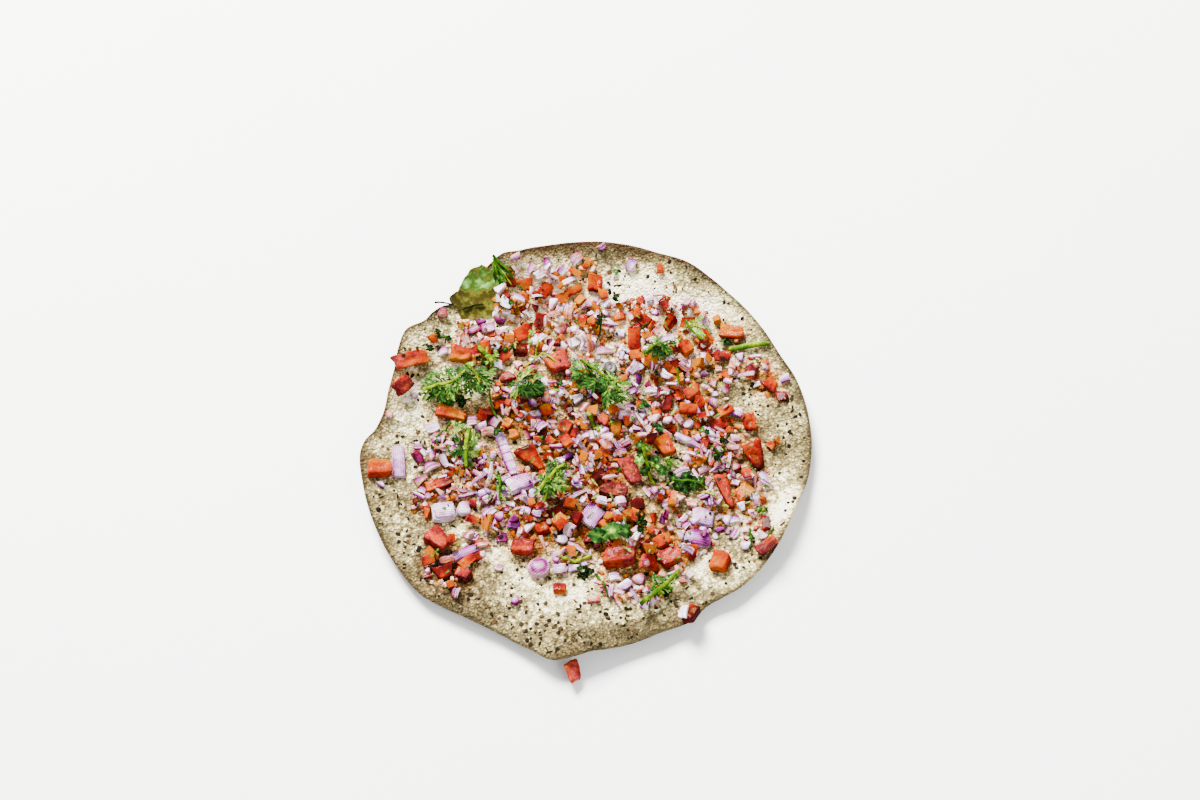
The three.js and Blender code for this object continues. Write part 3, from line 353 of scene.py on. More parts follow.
SKY_COLOUR = (0.98, 0.99, 1.0, 1)
SKY_STRENGTH = 1.1
LIGHTS = [  # name, place in m, size in m, power in W, colour
    ("key", (-0.6, 1.25, 1.45), 0.8, 350.0, (1.0, 0.985, 0.96)),
    ("fill", (1.2, -0.9, 1.4), 1.2, 27.0, (0.96, 0.98, 1.0)),
]


def rgb(code):
    """The linear colour of a six-digit display colour."""
    channels = [int(code[i:i + 2], 16) / 255 for i in (0, 2, 4)]
    return tuple(c / 12.92 if c <= 0.04045 else ((c + 0.055) / 1.055) ** 2.4 for c in channels) + (1.0,)


def seeded(seed):
    """A run of draws from 0 to 1, the same on every run."""
    state = seed * 7919 + 17

    def draw():
        nonlocal state
        state = state * 16807 % 2147483647
        return state / 2147483647

    draw()
    return draw


def between(draw, limits):
    return limits[0] + (limits[1] - limits[0]) * draw()


# The wafer's heights

def rim_at(angle):
    """Radius and edge height at any angle in radians, by smooth turns through the rows of RIM."""
    degrees = np.degrees(angle) % 360
    n = len(RIM)
    i = np.searchsorted(RIM[:, 0], degrees, side="right") - 1
    start = RIM[i, 0]
    end = np.append(RIM[1:, 0], 360.0)[i]
    t = ((degrees - start) / (end - start))[..., None]
    a, b, c, d = (RIM[(i + k) % n, 1:] for k in (-1, 0, 1, 2))
    smooth = b + 0.5 * t * (c - a + t * (2 * a - 5 * b + 4 * c - d + t * (3 * (b - c) + d - a)))
    return RADIUS * smooth[..., 0], smooth[..., 1]


def hill(x, y, cx, cy, radius):
    return np.exp(-((x - cx) ** 2 + (y - cy) ** 2) / radius ** 2)


def make_blisters():
    draw = seeded(BLISTER_SEED)
    rows = []
    for _ in range(BLISTER_COUNT):
        angle = 2 * math.pi * draw()
        reach = RADIUS * math.sqrt(draw())
        radius = between(draw, BLISTER_RADIUS)
        height = between(draw, BLISTER_HEIGHT)
        rows.append((reach * math.cos(angle), reach * math.sin(angle), radius, height))
    return rows


BLISTERS = make_blisters()


def underside(x, y):
    angle = np.arctan2(y, x)
    radius, lift = rim_at(angle)
    share = np.hypot(x, y) / radius
    z = DISH_HEIGHT * share ** 3 - DISH_SINK
    for cx, cy, reach, height in SWELLS:
        z = z + height * hill(x, y, cx, cy, reach)
    for waves, phase, height in RIPPLES:
        z = z + height * share ** 3 * np.cos(waves * angle + phase)
    z = z + (lift - DISH_HEIGHT + DISH_SINK) * share ** CURL_POWER
    return np.maximum(0, z)


def topside(x, y):
    z = underside(x, y) + THICKNESS
    for cx, cy, radius, height in BLISTERS:
        z = z + height * hill(x, y, cx, cy, radius)
    return z


def pimples(x, y):
    """Height of the small puffed bubbles that cover the wafer: the tallest dome at each place."""
    random = np.random.default_rng(7)
    span = int(2 * PIMPLE_SPAN / PIMPLE_PITCH) + 4
    jitter = random.uniform(0, 1, (span, span, 2))
    radius = random.uniform(*PIMPLE_RADIUS, (span, span))
    low, high = PIMPLE_HEIGHT
    height = low + (high - low) * random.uniform(0, 1, (span, span)) ** 1.8
    column = np.floor((x + PIMPLE_SPAN) / PIMPLE_PITCH).astype(int) + 1
    row = np.floor((y + PIMPLE_SPAN) / PIMPLE_PITCH).astype(int) + 1
    best = np.zeros_like(x)
    for i in (-1, 0, 1):
        for j in (-1, 0, 1):
            a = column + i
            b = row + j
            cx = (a - 1 + jitter[a, b, 0]) * PIMPLE_PITCH - PIMPLE_SPAN
            cy = (b - 1 + jitter[a, b, 1]) * PIMPLE_PITCH - PIMPLE_SPAN
            dome = 1 - ((x - cx) ** 2 + (y - cy) ** 2) / radius[a, b] ** 2
            best = np.maximum(best, height[a, b] * np.sqrt(np.maximum(dome, 0)))
    return best


def salad_at(x, y):
    total = np.zeros(np.shape(x))
    for cx, cy, radius, _ in CLUMPS:
        total = total + hill(x, y, cx, cy, 0.8 * radius)
    return total


# Meshes

def deselect():
    for thing in bpy.context.selected_objects:
        thing.select_set(False)


def corners_of(thing):
    corners = np.empty(3 * len(thing.data.vertices))
    thing.data.vertices.foreach_get("co", corners)
    return corners.reshape(-1, 3)


def set_corners(thing, corners):
    thing.data.vertices.foreach_set("co", corners.ravel())


def finish_shape():
    """Takes the shape being modelled off the scene and returns its corners and faces."""
    thing = bpy.context.active_object
    corners = corners_of(thing)
    faces = [tuple(face.vertices) for face in thing.data.polygons]
    bpy.data.objects.remove(thing)
    return {"corners": corners, "faces": faces}


def flat_slab(columns, rows, thickness):
    """A unit square of small squares, extruded upwards."""
    bpy.ops.mesh.primitive_grid_add(x_subdivisions=columns, y_subdivisions=rows, size=1)
    bpy.ops.object.mode_set(mode="EDIT")
    bpy.ops.mesh.select_all(action="SELECT")
    bpy.ops.mesh.extrude_region_move(TRANSFORM_OT_translate={"value": (0, 0, thickness)})
    bpy.ops.mesh.select_all(action="SELECT")
    bpy.ops.mesh.normals_make_consistent(inside=False)
    bpy.ops.object.mode_set(mode="OBJECT")
    return bpy.context.active_object


def thicken(thing, thickness):
    """Gives a sheet its thickness, downwards from its upper side."""
    solid = thing.modifiers.new("thickness", "SOLIDIFY")
    solid.thickness = thickness
    bpy.ops.object.modifier_apply(modifier="thickness")


def new_piece(name, corners, faces, material, values):
    """One mesh in mm about the wafer's middle becomes a piece in metres about the frame's origin."""
    mesh = bpy.data.meshes.new(name)
    mesh.from_pydata(((corners + PLAN_SHIFT) * MM).tolist(), [], faces)
    for key, numbers in values.items():
        layer = mesh.attributes.new(key, "FLOAT", "POINT")
        numbers = np.broadcast_to(np.asarray(numbers, dtype=np.float32), len(corners))
        layer.data.foreach_set("value", np.ascontiguousarray(numbers))
    mesh.materials.append(material)
    mesh.update()
    piece = bpy.data.objects.new(name, mesh)
    bpy.context.collection.objects.link(piece)
    return piece


def dress(piece, slot, angle, *nodes):
    """Shades a piece smooth up to an angle, hangs it on the root body and hides the nodes it replaces; its
    slot is not used.
    """
    deselect()
    piece.select_set(True)
    bpy.context.view_layer.objects.active = piece
    bpy.ops.object.shade_smooth_by_angle(angle=math.radians(angle))
    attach(piece, "root")
    if nodes:
        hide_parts(*nodes)


class Pile:
    """Many copies of a few shapes, joined into one mesh with their values at each corner."""

    def __init__(self):
        self.corners = []
        self.faces = []
        self.values = {}
        self.count = 0

    def add(self, shape, corners, **values):
        self.corners.append(corners)
        start = self.count
        self.faces += [tuple(start + i for i in face) for face in shape["faces"]]
        self.count += len(corners)
        for key, number in values.items():
            self.values.setdefault(key, []).append(np.broadcast_to(number, len(corners)))

    def joined(self):
        """All corners in one array, and each value at all of them."""
        values = {key: np.concatenate(parts) for key, parts in self.values.items()}
        return np.concatenate(self.corners), values

    def piece(self, name, material, slot, *nodes, angle=50):
        corners, values = self.joined()
        dress(new_piece(name, corners, self.faces, material, values), slot, angle, *nodes)


# The shapes that repeat, one unit long, wide and high

def turned(up, turn, tilt=0.0):
    """The matrix that turns a flat piece by its own turn and then leans its upright over."""
    a = math.radians(turn)
    b = math.radians(tilt)
    own = np.array([[math.cos(a), -math.sin(a), 0], [math.sin(a), math.cos(a), 0], [0, 0, 1]])
    pitch = np.array([[math.cos(b), 0, math.sin(b)], [0, 1, 0], [-math.sin(b), 0, math.cos(b)]])
    axis = np.cross([0, 0, 1], up)
    across = np.array([[0, -axis[2], axis[1]], [axis[2], 0, -axis[0]], [-axis[1], axis[0], 0]])
    lean = np.eye(3) + across + across @ across / (1 + up[2])
    return lean @ own @ pitch


def uneven_plan(c, draw, uneven, point=0.0):
    """Moves a unit block's plan onto four uneven corners; a point draws its +Y side together."""
    plan = np.array([(-0.5, -0.5), (0.5, -0.5), (0.5, 0.5), (-0.5, 0.5)])
    plan = plan * (1 - uneven * draw.random((4, 2)))
    plan[2:, 0] *= 1 - point
    u = c[:, :1] + 0.5
    v = c[:, 1:2] + 0.5
    flat = (1 - u) * (1 - v) * plan[0] + u * (1 - v) * plan[1] + u * v * plan[2] + (1 - u) * v * plan[3]
    c[:, :2] = flat


def rounded_block(cuts, edge):
    """A unit cube of small squares with its edges rounded."""
    bpy.ops.mesh.primitive_cube_add(size=1)
    bpy.ops.object.mode_set(mode="EDIT")
    bpy.ops.mesh.subdivide(number_cuts=cuts)
    bpy.ops.object.mode_set(mode="OBJECT")
    thing = bpy.context.active_object
    c = corners_of(thing)
    core = np.clip(c, edge - 0.5, 0.5 - edge)
    out = c - core
    c = core + edge * out / np.maximum(np.linalg.norm(out, axis=1, keepdims=True), 1e-6)
    set_corners(thing, c)
    bpy.ops.object.mode_set(mode="EDIT")
    bpy.ops.mesh.select_all(action="SELECT")
    return thing


def warp(c, draw, amount):
    """Soft waves that take the stiffness out of a unit shape."""
    phase = 6.3 * draw.random(3)
    c += amount * np.sin(4.5 * c[:, [1, 2, 0]] + phase)


def tomato_shape(seed, cuts, point, hollow, slant):
    """A cut chunk: flat knife faces, a smooth skin on its +X side, and a hollow where the seeds were."""
    rounded_block(cuts, 0.1)
    bpy.ops.transform.vertex_random(offset=0.035, seed=seed)
    bpy.ops.object.mode_set(mode="OBJECT")
    shape = finish_shape()
    draw = np.random.default_rng(seed)
    c = shape["corners"]
    skin = np.clip((c[:, 0] - 0.3) / 0.12, 0, 1)
    dent = np.exp(-((c[:, 0] + 0.12) ** 2 / 0.05 + (c[:, 1] - 0.05) ** 2 / 0.03)) * (c[:, 2] > 0.25)
    c[:, 0] -= 0.3 * skin * (c[:, 1] ** 2 + c[:, 2] ** 2)
    c[:, 2] -= hollow * dent
    c[:, 2] *= 1 - slant * (c[:, 1] + 0.5)
    uneven_plan(c, draw, 0.45, point)
    warp(c, draw, 0.04)
    shape["skin"] = skin
    shape["dent"] = np.clip(dent, 0, 1)
    return shape


def onion_shape(seed, layers, curl, taper, bend, ends):
    """A bit of onion: one to three layers side by side, cut square or with its ends drawn in."""
    draw = np.random.default_rng(seed)
    pile = Pile()
    for k in range(layers):
        flat_slab(4, 3 if layers == 1 else 1, 1)
        layer = finish_shape()
        c = layer["corners"]
        skin = (0.05 + 0.95 * (c[:, 1] + 0.5) ** 2) * (0.25 + 0.75 * (k + 1) / layers)
        pillow = 1 - 0.2 * (2 * c[:, 0]) ** 4 - (0.2 / layers) * (2 * c[:, 1]) ** 4
        c[:, 2] = (c[:, 2] - 0.5) * pillow * draw.uniform(0.75, 1)
        c[:, 0] = c[:, 0] * draw.uniform(0.8, 1) + draw.uniform(-0.06, 0.06)
        c[:, 1] = (k + 0.5 + 0.88 * c[:, 1]) / layers - 0.5
        pile.add(layer, c, skin=skin)
    c, values = pile.joined()
    grain = c[:, 1].copy()
    c[:, 1] *= (1 - taper * (c[:, 0] + 0.5)) * (1 - ends * (2 * c[:, 0]) ** 4)
    c[:, 1] += curl * (0.15 - c[:, 0] ** 2)
    uneven_plan(c, draw, 0.35)
    c[:, 2] += bend * (0.15 - c[:, 0] ** 2)
    return {"corners": c, "faces": pile.faces, "skin": values["skin"], "grain": grain}


def onion_lump(seed, point, edge):
    """A rounded bit of onion cut across its rings, purple at its border and pale in the middle."""
    rounded_block(2, edge)
    bpy.ops.transform.vertex_random(offset=0.04, seed=seed)
    bpy.ops.object.mode_set(mode="OBJECT")
    shape = finish_shape()
    draw = np.random.default_rng(seed)
    c = shape["corners"]
    reach = np.hypot(c[:, 0], c[:, 1] + 0.2)
    shape["skin"] = np.clip(1.5 * reach ** 1.5, 0, 1.1)
    shape["grain"] = reach
    uneven_plan(c, draw, 0.5, point)
    warp(c, draw, 0.04)
    return shape


def leaflet_shape(seed, lobes, depth):
    """A thin coriander leaflet with its stalk end at -X: lobed, toothed, creased and curled."""
    bpy.ops.mesh.primitive_circle_add(vertices=6 * lobes, radius=0.5, fill_type="TRIFAN")
    bpy.ops.object.mode_set(mode="EDIT")
    bpy.ops.mesh.select_all(action="SELECT")
    bpy.ops.mesh.subdivide(number_cuts=1)
    bpy.ops.object.mode_set(mode="OBJECT")
    thing = bpy.context.active_object
    c = corners_of(thing)
    angle = np.arctan2(c[:, 1], c[:, 0])
    reach = np.hypot(c[:, 0], c[:, 1]) / 0.5
    lobe = np.abs(np.cos(lobes * angle / 2)) ** 0.8
    outline = 1 - depth + depth * lobe + 0.04 * np.cos(3 * lobes * angle)
    stalk = np.exp(-((np.abs(angle) - math.pi) / 0.45) ** 2)
    outline *= 1 - 0.6 * stalk
    scale = 1 + (outline - 1) * reach
    c[:, 0] *= scale
    c[:, 1] *= scale
    crease = np.abs(np.sin(lobes * angle / 2)) * reach ** 2
    c[:, 2] = 0.5 * (c[:, 1] ** 2 - 0.6 * c[:, 0] ** 2) - 0.08 * crease
    c[:, 2] += 0.06 * np.sin(7 * c[:, 0] + seed) + 0.06 * np.sin(6 * c[:, 1] + 2 * seed)
    set_corners(thing, c)
    thicken(thing, 0.05)
    shape = finish_shape()
    c = shape["corners"]
    angle = np.arctan2(c[:, 1], c[:, 0])
    vein = np.exp(-(np.sin(lobes * angle / 2) / 0.2) ** 2)
    shape["vein"] = vein * np.clip(1.1 - np.hypot(c[:, 0], c[:, 1]), 0, 1)
    return shape


def frond_shape(seed, pairs, opening):
    """A feathery piece of leaf from x = -0.5 to 0.5: a thin rib with forked, pointed blades in pairs."""
    bpy.ops.mesh.primitive_uv_sphere_add(segments=4, ring_count=2, radius=0.5, rotation=ALONG_X)
    bpy.ops.object.transform_apply(location=False, rotation=True, scale=False)
    blade = finish_shape()
    draw = np.random.default_rng(seed)
    rows = [(-0.5, 0.0, 0.0, 1.0, 0.07, 0.0)]
    for k in range(pairs):
        foot = 0.85 * k / pairs - 0.45
        for side in (-1, 1):
            length = (0.62 - 0.25 * k / pairs) * draw.uniform(0.75, 1.15)
            angle = side * (opening - 5 * k + draw.uniform(-12, 12))
            lift = draw.uniform(-15, 25)
            rows.append((foot, 0.0, angle, length, draw.uniform(0.08, 0.13), lift))
            fork = 0.45 * length
            a = math.radians(angle)
            place = (foot + fork * math.cos(a), fork * math.sin(a))
            turn = draw.choice((-28, 26))
            reach = draw.uniform(0.5, 0.7) * length
            rows.append((*place, angle + turn, reach, draw.uniform(0.06, 0.09), lift))
    pile = Pile()
    for x, y, angle, length, width, lift in rows:
        c = blade["corners"] * (length, width, 0.04) + (length / 2, 0, 0)
        pile.add(blade, c @ turned(UPRIGHT, angle, -lift).T + (x, y, 0), vein=draw.uniform(0, 1))
    c, values = pile.joined()
    c[:, 2] -= 0.2 * (c[:, 0] ** 2 + c[:, 1] ** 2)
    return {"corners": c, "faces": pile.faces, "vein": values["vein"]}


def lump_shape(seed):
    """A small rough speck."""
    bpy.ops.mesh.primitive_ico_sphere_add(subdivisions=1, radius=0.5)
    bpy.ops.object.mode_set(mode="EDIT")
    bpy.ops.transform.vertex_random(offset=0.12, seed=seed)
    bpy.ops.object.mode_set(mode="OBJECT")
    return finish_shape()


deselect()
FINE_TOMATO_SHAPES = [
    tomato_shape(seed, 5, point, hollow, slant)
    for seed, point, hollow, slant in (
        (1, 0.0, 0.2, 0.1), (2, 0.4, 0.35, 0.3), (3, 0.1, 0.0, 0.4), (4, 0.7, 0.1, 0.2), (5, 0.25, 0.4, 0.0),
        (6, 0.5, 0.0, 0.5),
    )
]
TOMATO_SHAPES = [
    tomato_shape(seed, 2, point, 0.15, slant)
    for seed, point, slant in (
        (11, 0.0, 0.2), (12, 0.5, 0.3), (13, 0.2, 0.0), (14, 0.8, 0.3), (15, 0.3, 0.5),
    )
]
ONION_SHAPES = [
    onion_shape(seed, layers, curl, taper, bend, ends)
    for seed, layers, curl, taper, bend, ends in (
        (1, 1, 0.5, 0.1, 0.5, 0.2), (2, 2, 0.3, 0.3, 0.3, 0.0), (3, 3, 0.2, 0.1, 0.2, 0.0),
        (4, 3, 0.6, 0.0, 0.1, 0.1), (5, 2, 0.9, 0.4, 0.3, 0.3), (6, 3, 0.4, 0.5, 0.4, 0.0),
        (7, 1, 0.1, 0.6, 0.7, 0.0), (8, 2, -0.5, 0.2, 0.2, 0.1), (9, 1, 0.0, 0.2, 0.4, 0.0),
        (10, 1, -0.3, 0.4, 0.6, 0.0),
    )
] + [
    onion_lump(seed, point, edge) for seed, point, edge in (
        (11, 0.0, 0.1), (12, 0.4, 0.25), (13, 0.2, 0.3), (14, 0.6, 0.12), (15, 0.8, 0.1), (16, 0.1, 0.35),
    )
]
SLIVER_SHAPES = ONION_SHAPES[:2] + ONION_SHAPES[4:5] + ONION_SHAPES[6:8]
LEAFLET_SHAPES = [
    leaflet_shape(seed, lobes, depth)
    for seed, lobes, depth in ((1, 5, 0.22), (2, 3, 0.3), (3, 5, 0.3), (4, 3, 0.2))
]
FROND_SHAPES = [
    frond_shape(seed, pairs, opening)
    for seed, pairs, opening in ((1, 4, 38), (2, 3, 30), (3, 4, 44))
]
LUMP_SHAPES = [lump_shape(seed) for seed in (1, 2, 3)]
for lump in LUMP_SHAPES:
    lump.update(skin=np.zeros(len(lump["corners"])), dent=0.0, grain=lump["corners"][:, 1])


# Where things lie

def lean_at(x, y, length):
    """The upright of the wafer's slope over a piece's length."""
    step = length / 2
    slope_x = (topside(x + step, y) - topside(x - step, y)) / (2 * step)
    slope_y = (topside(x, y + step) - topside(x, y - step)) / (2 * step)
    up = np.array([-slope_x, -slope_y, 1.0])
    return up / np.linalg.norm(up)


class Ground:
    """The height of all that has been laid so far, in small squares, which of them stay clear, and where
    juice lies that also stands for painted shade round the pieces.
    """

    CELL = 0.5
    HALF = 108.0

    def __init__(self):
        axis = np.arange(-self.HALF, self.HALF, self.CELL) + self.CELL / 2
        self.x, self.y = np.meshgrid(axis, axis, indexing="ij")
        self.bare = topside(self.x, self.y) + pimples(self.x, self.y)
        self.z = self.bare.copy()
        self.kept = np.zeros(self.x.shape, bool)
        self.juice = np.zeros(self.x.shape)

    def under(self, x, y, length, width, turn):
        """The squares under a turned rectangle."""
        reach = math.hypot(length, width) / 2 + self.CELL
        low = [max(0, int((v - reach + self.HALF) / self.CELL)) for v in (x, y)]
        high = [int((v + reach + self.HALF) / self.CELL) + 1 for v in (x, y)]
        block = (slice(low[0], high[0]), slice(low[1], high[1]))
        dx = self.x[block] - x
        dy = self.y[block] - y
        a = math.radians(turn)
        inside = np.abs(dx * math.cos(a) + dy * math.sin(a)) < length / 2
        inside &= np.abs(dy * math.cos(a) - dx * math.sin(a)) < width / 2
        i, j = np.nonzero(inside)
        return i + low[0], j + low[1]

    def rest(self, x, y, size, turn, sink=0.25):
        """Where a flat piece comes to rest: its upright and the height of its underside at its middle."""
        i, j = self.under(x, y, size[0], size[1], turn)
        if len(i) < 4:
            return UPRIGHT, float(topside(x, y))
        dx = self.x[i, j] - x
        dy = self.y[i, j] - y
        z = self.z[i, j]
        slope_x = np.clip((dx * z).mean() - dx.mean() * z.mean(), -9, 9) / max(dx.var(), 0.2)
        slope_y = np.clip((dy * z).mean() - dy.mean() * z.mean(), -9, 9) / max(dy.var(), 0.2)
        steep = math.hypot(slope_x, slope_y)
        if steep > 0.5:
            slope_x *= 0.5 / steep
            slope_y *= 0.5 / steep
        proud = z - slope_x * dx - slope_y * dy
        up = np.array([-slope_x, -slope_y, 1.0])
        return up / np.linalg.norm(up), float(np.quantile(proud, 1 - sink))

    def lay(self, x, y, size, turn, up, base, keep=False):
        i, j = self.under(x, y, size[0], size[1], turn)
        plane = base - (up[0] * (self.x[i, j] - x) + up[1] * (self.y[i, j] - y)) / up[2]
        self.z[i, j] = np.maximum(self.z[i, j], plane + size[2])
        if keep:
            self.kept[i, j] = True

    # Juice round a piece, which also paints shade on the wafer round it.
    def drip_and_shade(self, x, y, size, turn, margin):
        i, j = self.under(x, y, size[0] + margin, size[1] + margin, turn)
        self.juice[i, j] = np.minimum(1, self.juice[i, j] + 0.6)

    def soaked_and_shaded(self, x, y):
        """How much juice, which also stands for painted shade, each place has after it has spread a little.
        """
        spread = self.juice
        n = spread.shape[0]
        for _ in range(7):
            wide = np.pad(spread, 1, "edge")
            spread = sum(wide[i:i + n, j:j + n] for i in range(3) for j in range(3)) / 9
        i = np.clip(((x + self.HALF) / self.CELL).astype(int), 0, n - 1)
        j = np.clip(((y + self.HALF) / self.CELL).astype(int), 0, n - 1)
        return spread[i, j]

    def crowded(self, x, y, size, turn):
        """The share of a place that must stay clear, and how deep things lie there already."""
        i, j = self.under(x, y, size[0], size[1], turn)
        if len(i) == 0:
            return 1.0, 9.0
        return self.kept[i, j].mean(), (self.z[i, j] - self.bare[i, j]).mean()

    def at(self, x, y):
        i = np.clip(((np.asarray(x) + self.HALF) / self.CELL).astype(int), 0, self.x.shape[0] - 1)
        j = np.clip(((np.asarray(y) + self.HALF) / self.CELL).astype(int), 0, self.x.shape[1] - 1)
        return self.z[i, j]


ground = Ground()
onion_bits = Pile()
tomato_bits = Pile()
pick = np.random.default_rng(11)


def lay_bit(kind, x, y, size, turn, tint, tilt=0.0, keep=False, shapes=None, juice=None):
    """Sets one bit of onion or tomato down on what lies there, its colour changing from end to end."""
    up, base = ground.rest(x, y, size, turn)
    ground.lay(x, y, size, turn, up, base, keep)
    matrix = turned(up, turn + 180 * pick.integers(0, 2), 0.4 * tilt)
    middle = np.array([x, y, base]) + up * size[2] / 2
    if kind == "onion":
        shapes = shapes or ONION_SHAPES
        shape = shapes[pick.integers(0, len(shapes))]
        flip = np.array([1, 1, 1]) if pick.random() < 0.7 else np.array([1, -1, -1])
        corners = (shape["corners"] * flip * size) @ matrix.T + middle
        tints = tint + shape["corners"] @ pick.normal(0, 0.2, 3)
        juice = max(0.0, pick.uniform(-0.2, 1.2)) if juice is None else juice
        juices = juice + shape["corners"] @ pick.normal(0, 0.3, 3)
        # foot is most at a bit's underside: on onion it adds juice colour and painted shade towards the
        # bottom.
        foot = np.clip(0.5 - flip[2] * shape["corners"][:, 2], 0, 1)
        skin = np.maximum(shape["skin"], 0.65) if keep and tint > 0.84 else shape["skin"]
        onion_bits.add(
            shape, corners, tint=tints, skin=skin, grain=shape["grain"] * size[1],
            juice=np.clip(juices, 0, 1), foot=foot,
        )
    else:
        shapes = shapes or TOMATO_SHAPES
        shape = shapes[pick.integers(0, len(shapes))]
        roll = turned(UPRIGHT, 0, pick.choice((0, -90, -90, 180)) + pick.uniform(-12, 12))
        rolled = shape["corners"] @ roll.T
        corners = (rolled * size) @ matrix.T + middle
        tints = tint + shape["corners"] @ pick.normal(0, 0.3, 3)
        pulp = pick.uniform(-0.2, 1.2) + shape["corners"] @ pick.normal(0, 0.5, 3)
        # On tomato, foot paints shade: darker red towards the bit's bottom.
        tomato_bits.add(
            shape, corners, tint=tints, pulp=np.clip(pulp, 0, 1), skin=shape["skin"], dent=shape["dent"],
            foot=np.clip(0.5 - rolled[:, 2], 0, 1),
        )
        ground.drip_and_shade(x, y, size, turn, 1.5)


def random_tint(kind, y):
    """A tint that suits the kind: most onion pale, most tomato orange to red, a few of each dark."""
    # Painted light: lighter tints on the far side, where more light falls on the salad.
    far = y > FAR_SIDE
    common = pick.random() < (0.9 if far else 0.78)
    if kind == "onion":
        return pick.uniform(-0.15, 0.35) + (-0.04 if far else 0.18) if common else pick.uniform(0.55, 1.0)
    return pick.uniform(-0.15, 0.25 if far else 0.45) if common else pick.uniform(0.5, 0.9)


# Materials

class Look:
    """A material's nodes, wired to its shader."""

    def __init__(self, name):
        self.material = bpy.data.materials.new(name)
        self.material.use_nodes = True
        self.tree = self.material.node_tree
        self.shader = self.tree.nodes["Principled BSDF"]
        self.place = self.node("TexCoord").outputs["Object"]

    def feed(self, socket, value):
        if isinstance(value, bpy.types.NodeSocket):
            self.tree.links.new(value, socket)
        else:
            socket.default_value = value

    def node(self, kind, inputs=None, **settings):
        made = self.tree.nodes.new("ShaderNode" + kind)
        for key, value in settings.items():
            setattr(made, key, value)
        for key, value in (inputs or {}).items():
            self.feed(made.inputs[key], value)
        return made

    def value(self, name):
        return self.node("Attribute", attribute_name=name).outputs["Fac"]

    def noise(self, scale, detail=3.0, rough=0.6):
        inputs = {"Vector": self.place, "Scale": scale, "Detail": detail, "Roughness": rough}
        return self.node("TexNoise", inputs).outputs["Fac"]

    def cells(self, scale):
        return self.node("TexVoronoi", {"Vector": self.place, "Scale": scale}).outputs["Distance"]

    def math(self, operation, a, b=0.0):
        return self.node("Math", {0: a, 1: b}, operation=operation).outputs[0]

    def spread(self, value, low, high, to_low=0.0, to_high=1.0):
        inputs = {"Value": value, "From Min": low, "From Max": high, "To Min": to_low, "To Max": to_high}
        return self.node("MapRange", inputs).outputs[0]

    def vary(self, value, change, *limits):
        """A value with a change added to it, which is spread out first."""
        return self.math("ADD", value, self.spread(change, *limits))

    def mix(self, factor, a, b, blend="MIX"):
        made = self.node("Mix", data_type="RGBA", blend_type=blend)
        for index, value in ((0, factor), (6, a), (7, b)):
            self.feed(made.inputs[index], value)
        return made.outputs[2]

    def ramp(self, factor, stops):
        made = self.node("ValToRGB", {"Fac": factor})
        elements = made.color_ramp.elements
        while len(elements) < len(stops):
            elements.new(0.5)
        for element, (position, code) in zip(elements, stops):
            element.position = position
            element.color = rgb(code)
        return made.outputs["Color"]

    def bump(self, height, distance, strength):
        made = self.node("Bump", {"Height": height, "Distance": distance, "Strength": strength})
        self.feed(self.shader.inputs["Normal"], made.outputs["Normal"])

    def finish(self, colour, roughness, **sockets):
        self.feed(self.shader.inputs["Base Color"], colour)
        self.feed(self.shader.inputs["Roughness"], roughness)
        for key, value in sockets.items():
            self.feed(self.shader.inputs[key.replace("_", " ")], value)
        return self.material


def wafer_material():
    """Roasted lentil dough: cream on the puffs and khaki between them as painted highlight and shade, broad
    pale and khaki patches that are partly painted light, toasted with painted shade on the rim's inner wall,
    and juice-stained with painted shade under and round the salad.
    """
    look = Look("roasted_wafer")
    cloud = look.noise(80, 4, 0.6)
    mottle = look.noise(560, 3, 0.7)
    grain = look.noise(1500, 3, 0.7)
    puffs = look.cells(900)
    tone = look.vary(look.value("pale"), cloud, 0.3, 0.7, -0.17, 0.17)
    tone = look.vary(tone, mottle, 0.3, 0.7, -0.16, 0.16)
    tone = look.vary(tone, grain, 0.3, 0.7, -0.12, 0.12)
    # Painted highlight and shade: lighter on the tops of the small bubbles and the middles of the small
    # cells, darker between them.
    tone = look.vary(tone, look.value("relief"), 0.0, 0.45, -0.13, 0.2)
    tone = look.vary(tone, puffs, 0.1, 0.6, 0.2, -0.09)
    colour = look.ramp(tone, WAFER_TONES)
    # Juice marks with painted shade: browner under and round the salad, where its shade falls, and glossier
    # there.
    juice_and_shade = look.math("MULTIPLY", look.value("wet_and_shaded"), look.spread(look.noise(200, 3), 0.3, 0.62, 0.35, 1.0))
    colour = look.mix(look.math("MINIMUM", juice_and_shade, 1.0), colour, rgb(JUICE_AND_SHADE), "MULTIPLY")
    colour = look.mix(look.spread(juice_and_shade, 0.8, 1.6), colour, rgb(DEEP_JUICE_AND_SHADE), "MULTIPLY")
    # Toasted brown with painted shade on the rim's inner wall.
    toast_and_shade = look.math("MULTIPLY", look.value("toast_and_shade"), look.spread(mottle, 0.3, 0.7, 0.45, 1.0))
    colour = look.mix(toast_and_shade, colour, rgb(TOAST_AND_SHADE))
    pits = look.spread(look.cells(430), 0.1, 0.24, 1.0, 0.0)
    rare = look.spread(look.noise(300, 2), 0.47, 0.55)
    pits = look.math("MULTIPLY", look.math("MULTIPLY", pits, rare), 0.65)
    colour = look.mix(pits, colour, rgb(PITS))
    grit = look.math("ADD", look.noise(1200, 4, 0.7), look.math("MULTIPLY", puffs, -1.3))
    grit = look.math("ADD", grit, look.math("MULTIPLY", look.noise(170, 2), 3.0))
    look.bump(grit, 0.0009, 0.9)
    rough = look.spread(juice_and_shade, 0.0, 1.0, 0.72, 0.38)
    return look.finish(
        colour, rough, Subsurface_Weight=0.06, Subsurface_Scale=0.002, Specular_IOR_Level=0.06,
    )


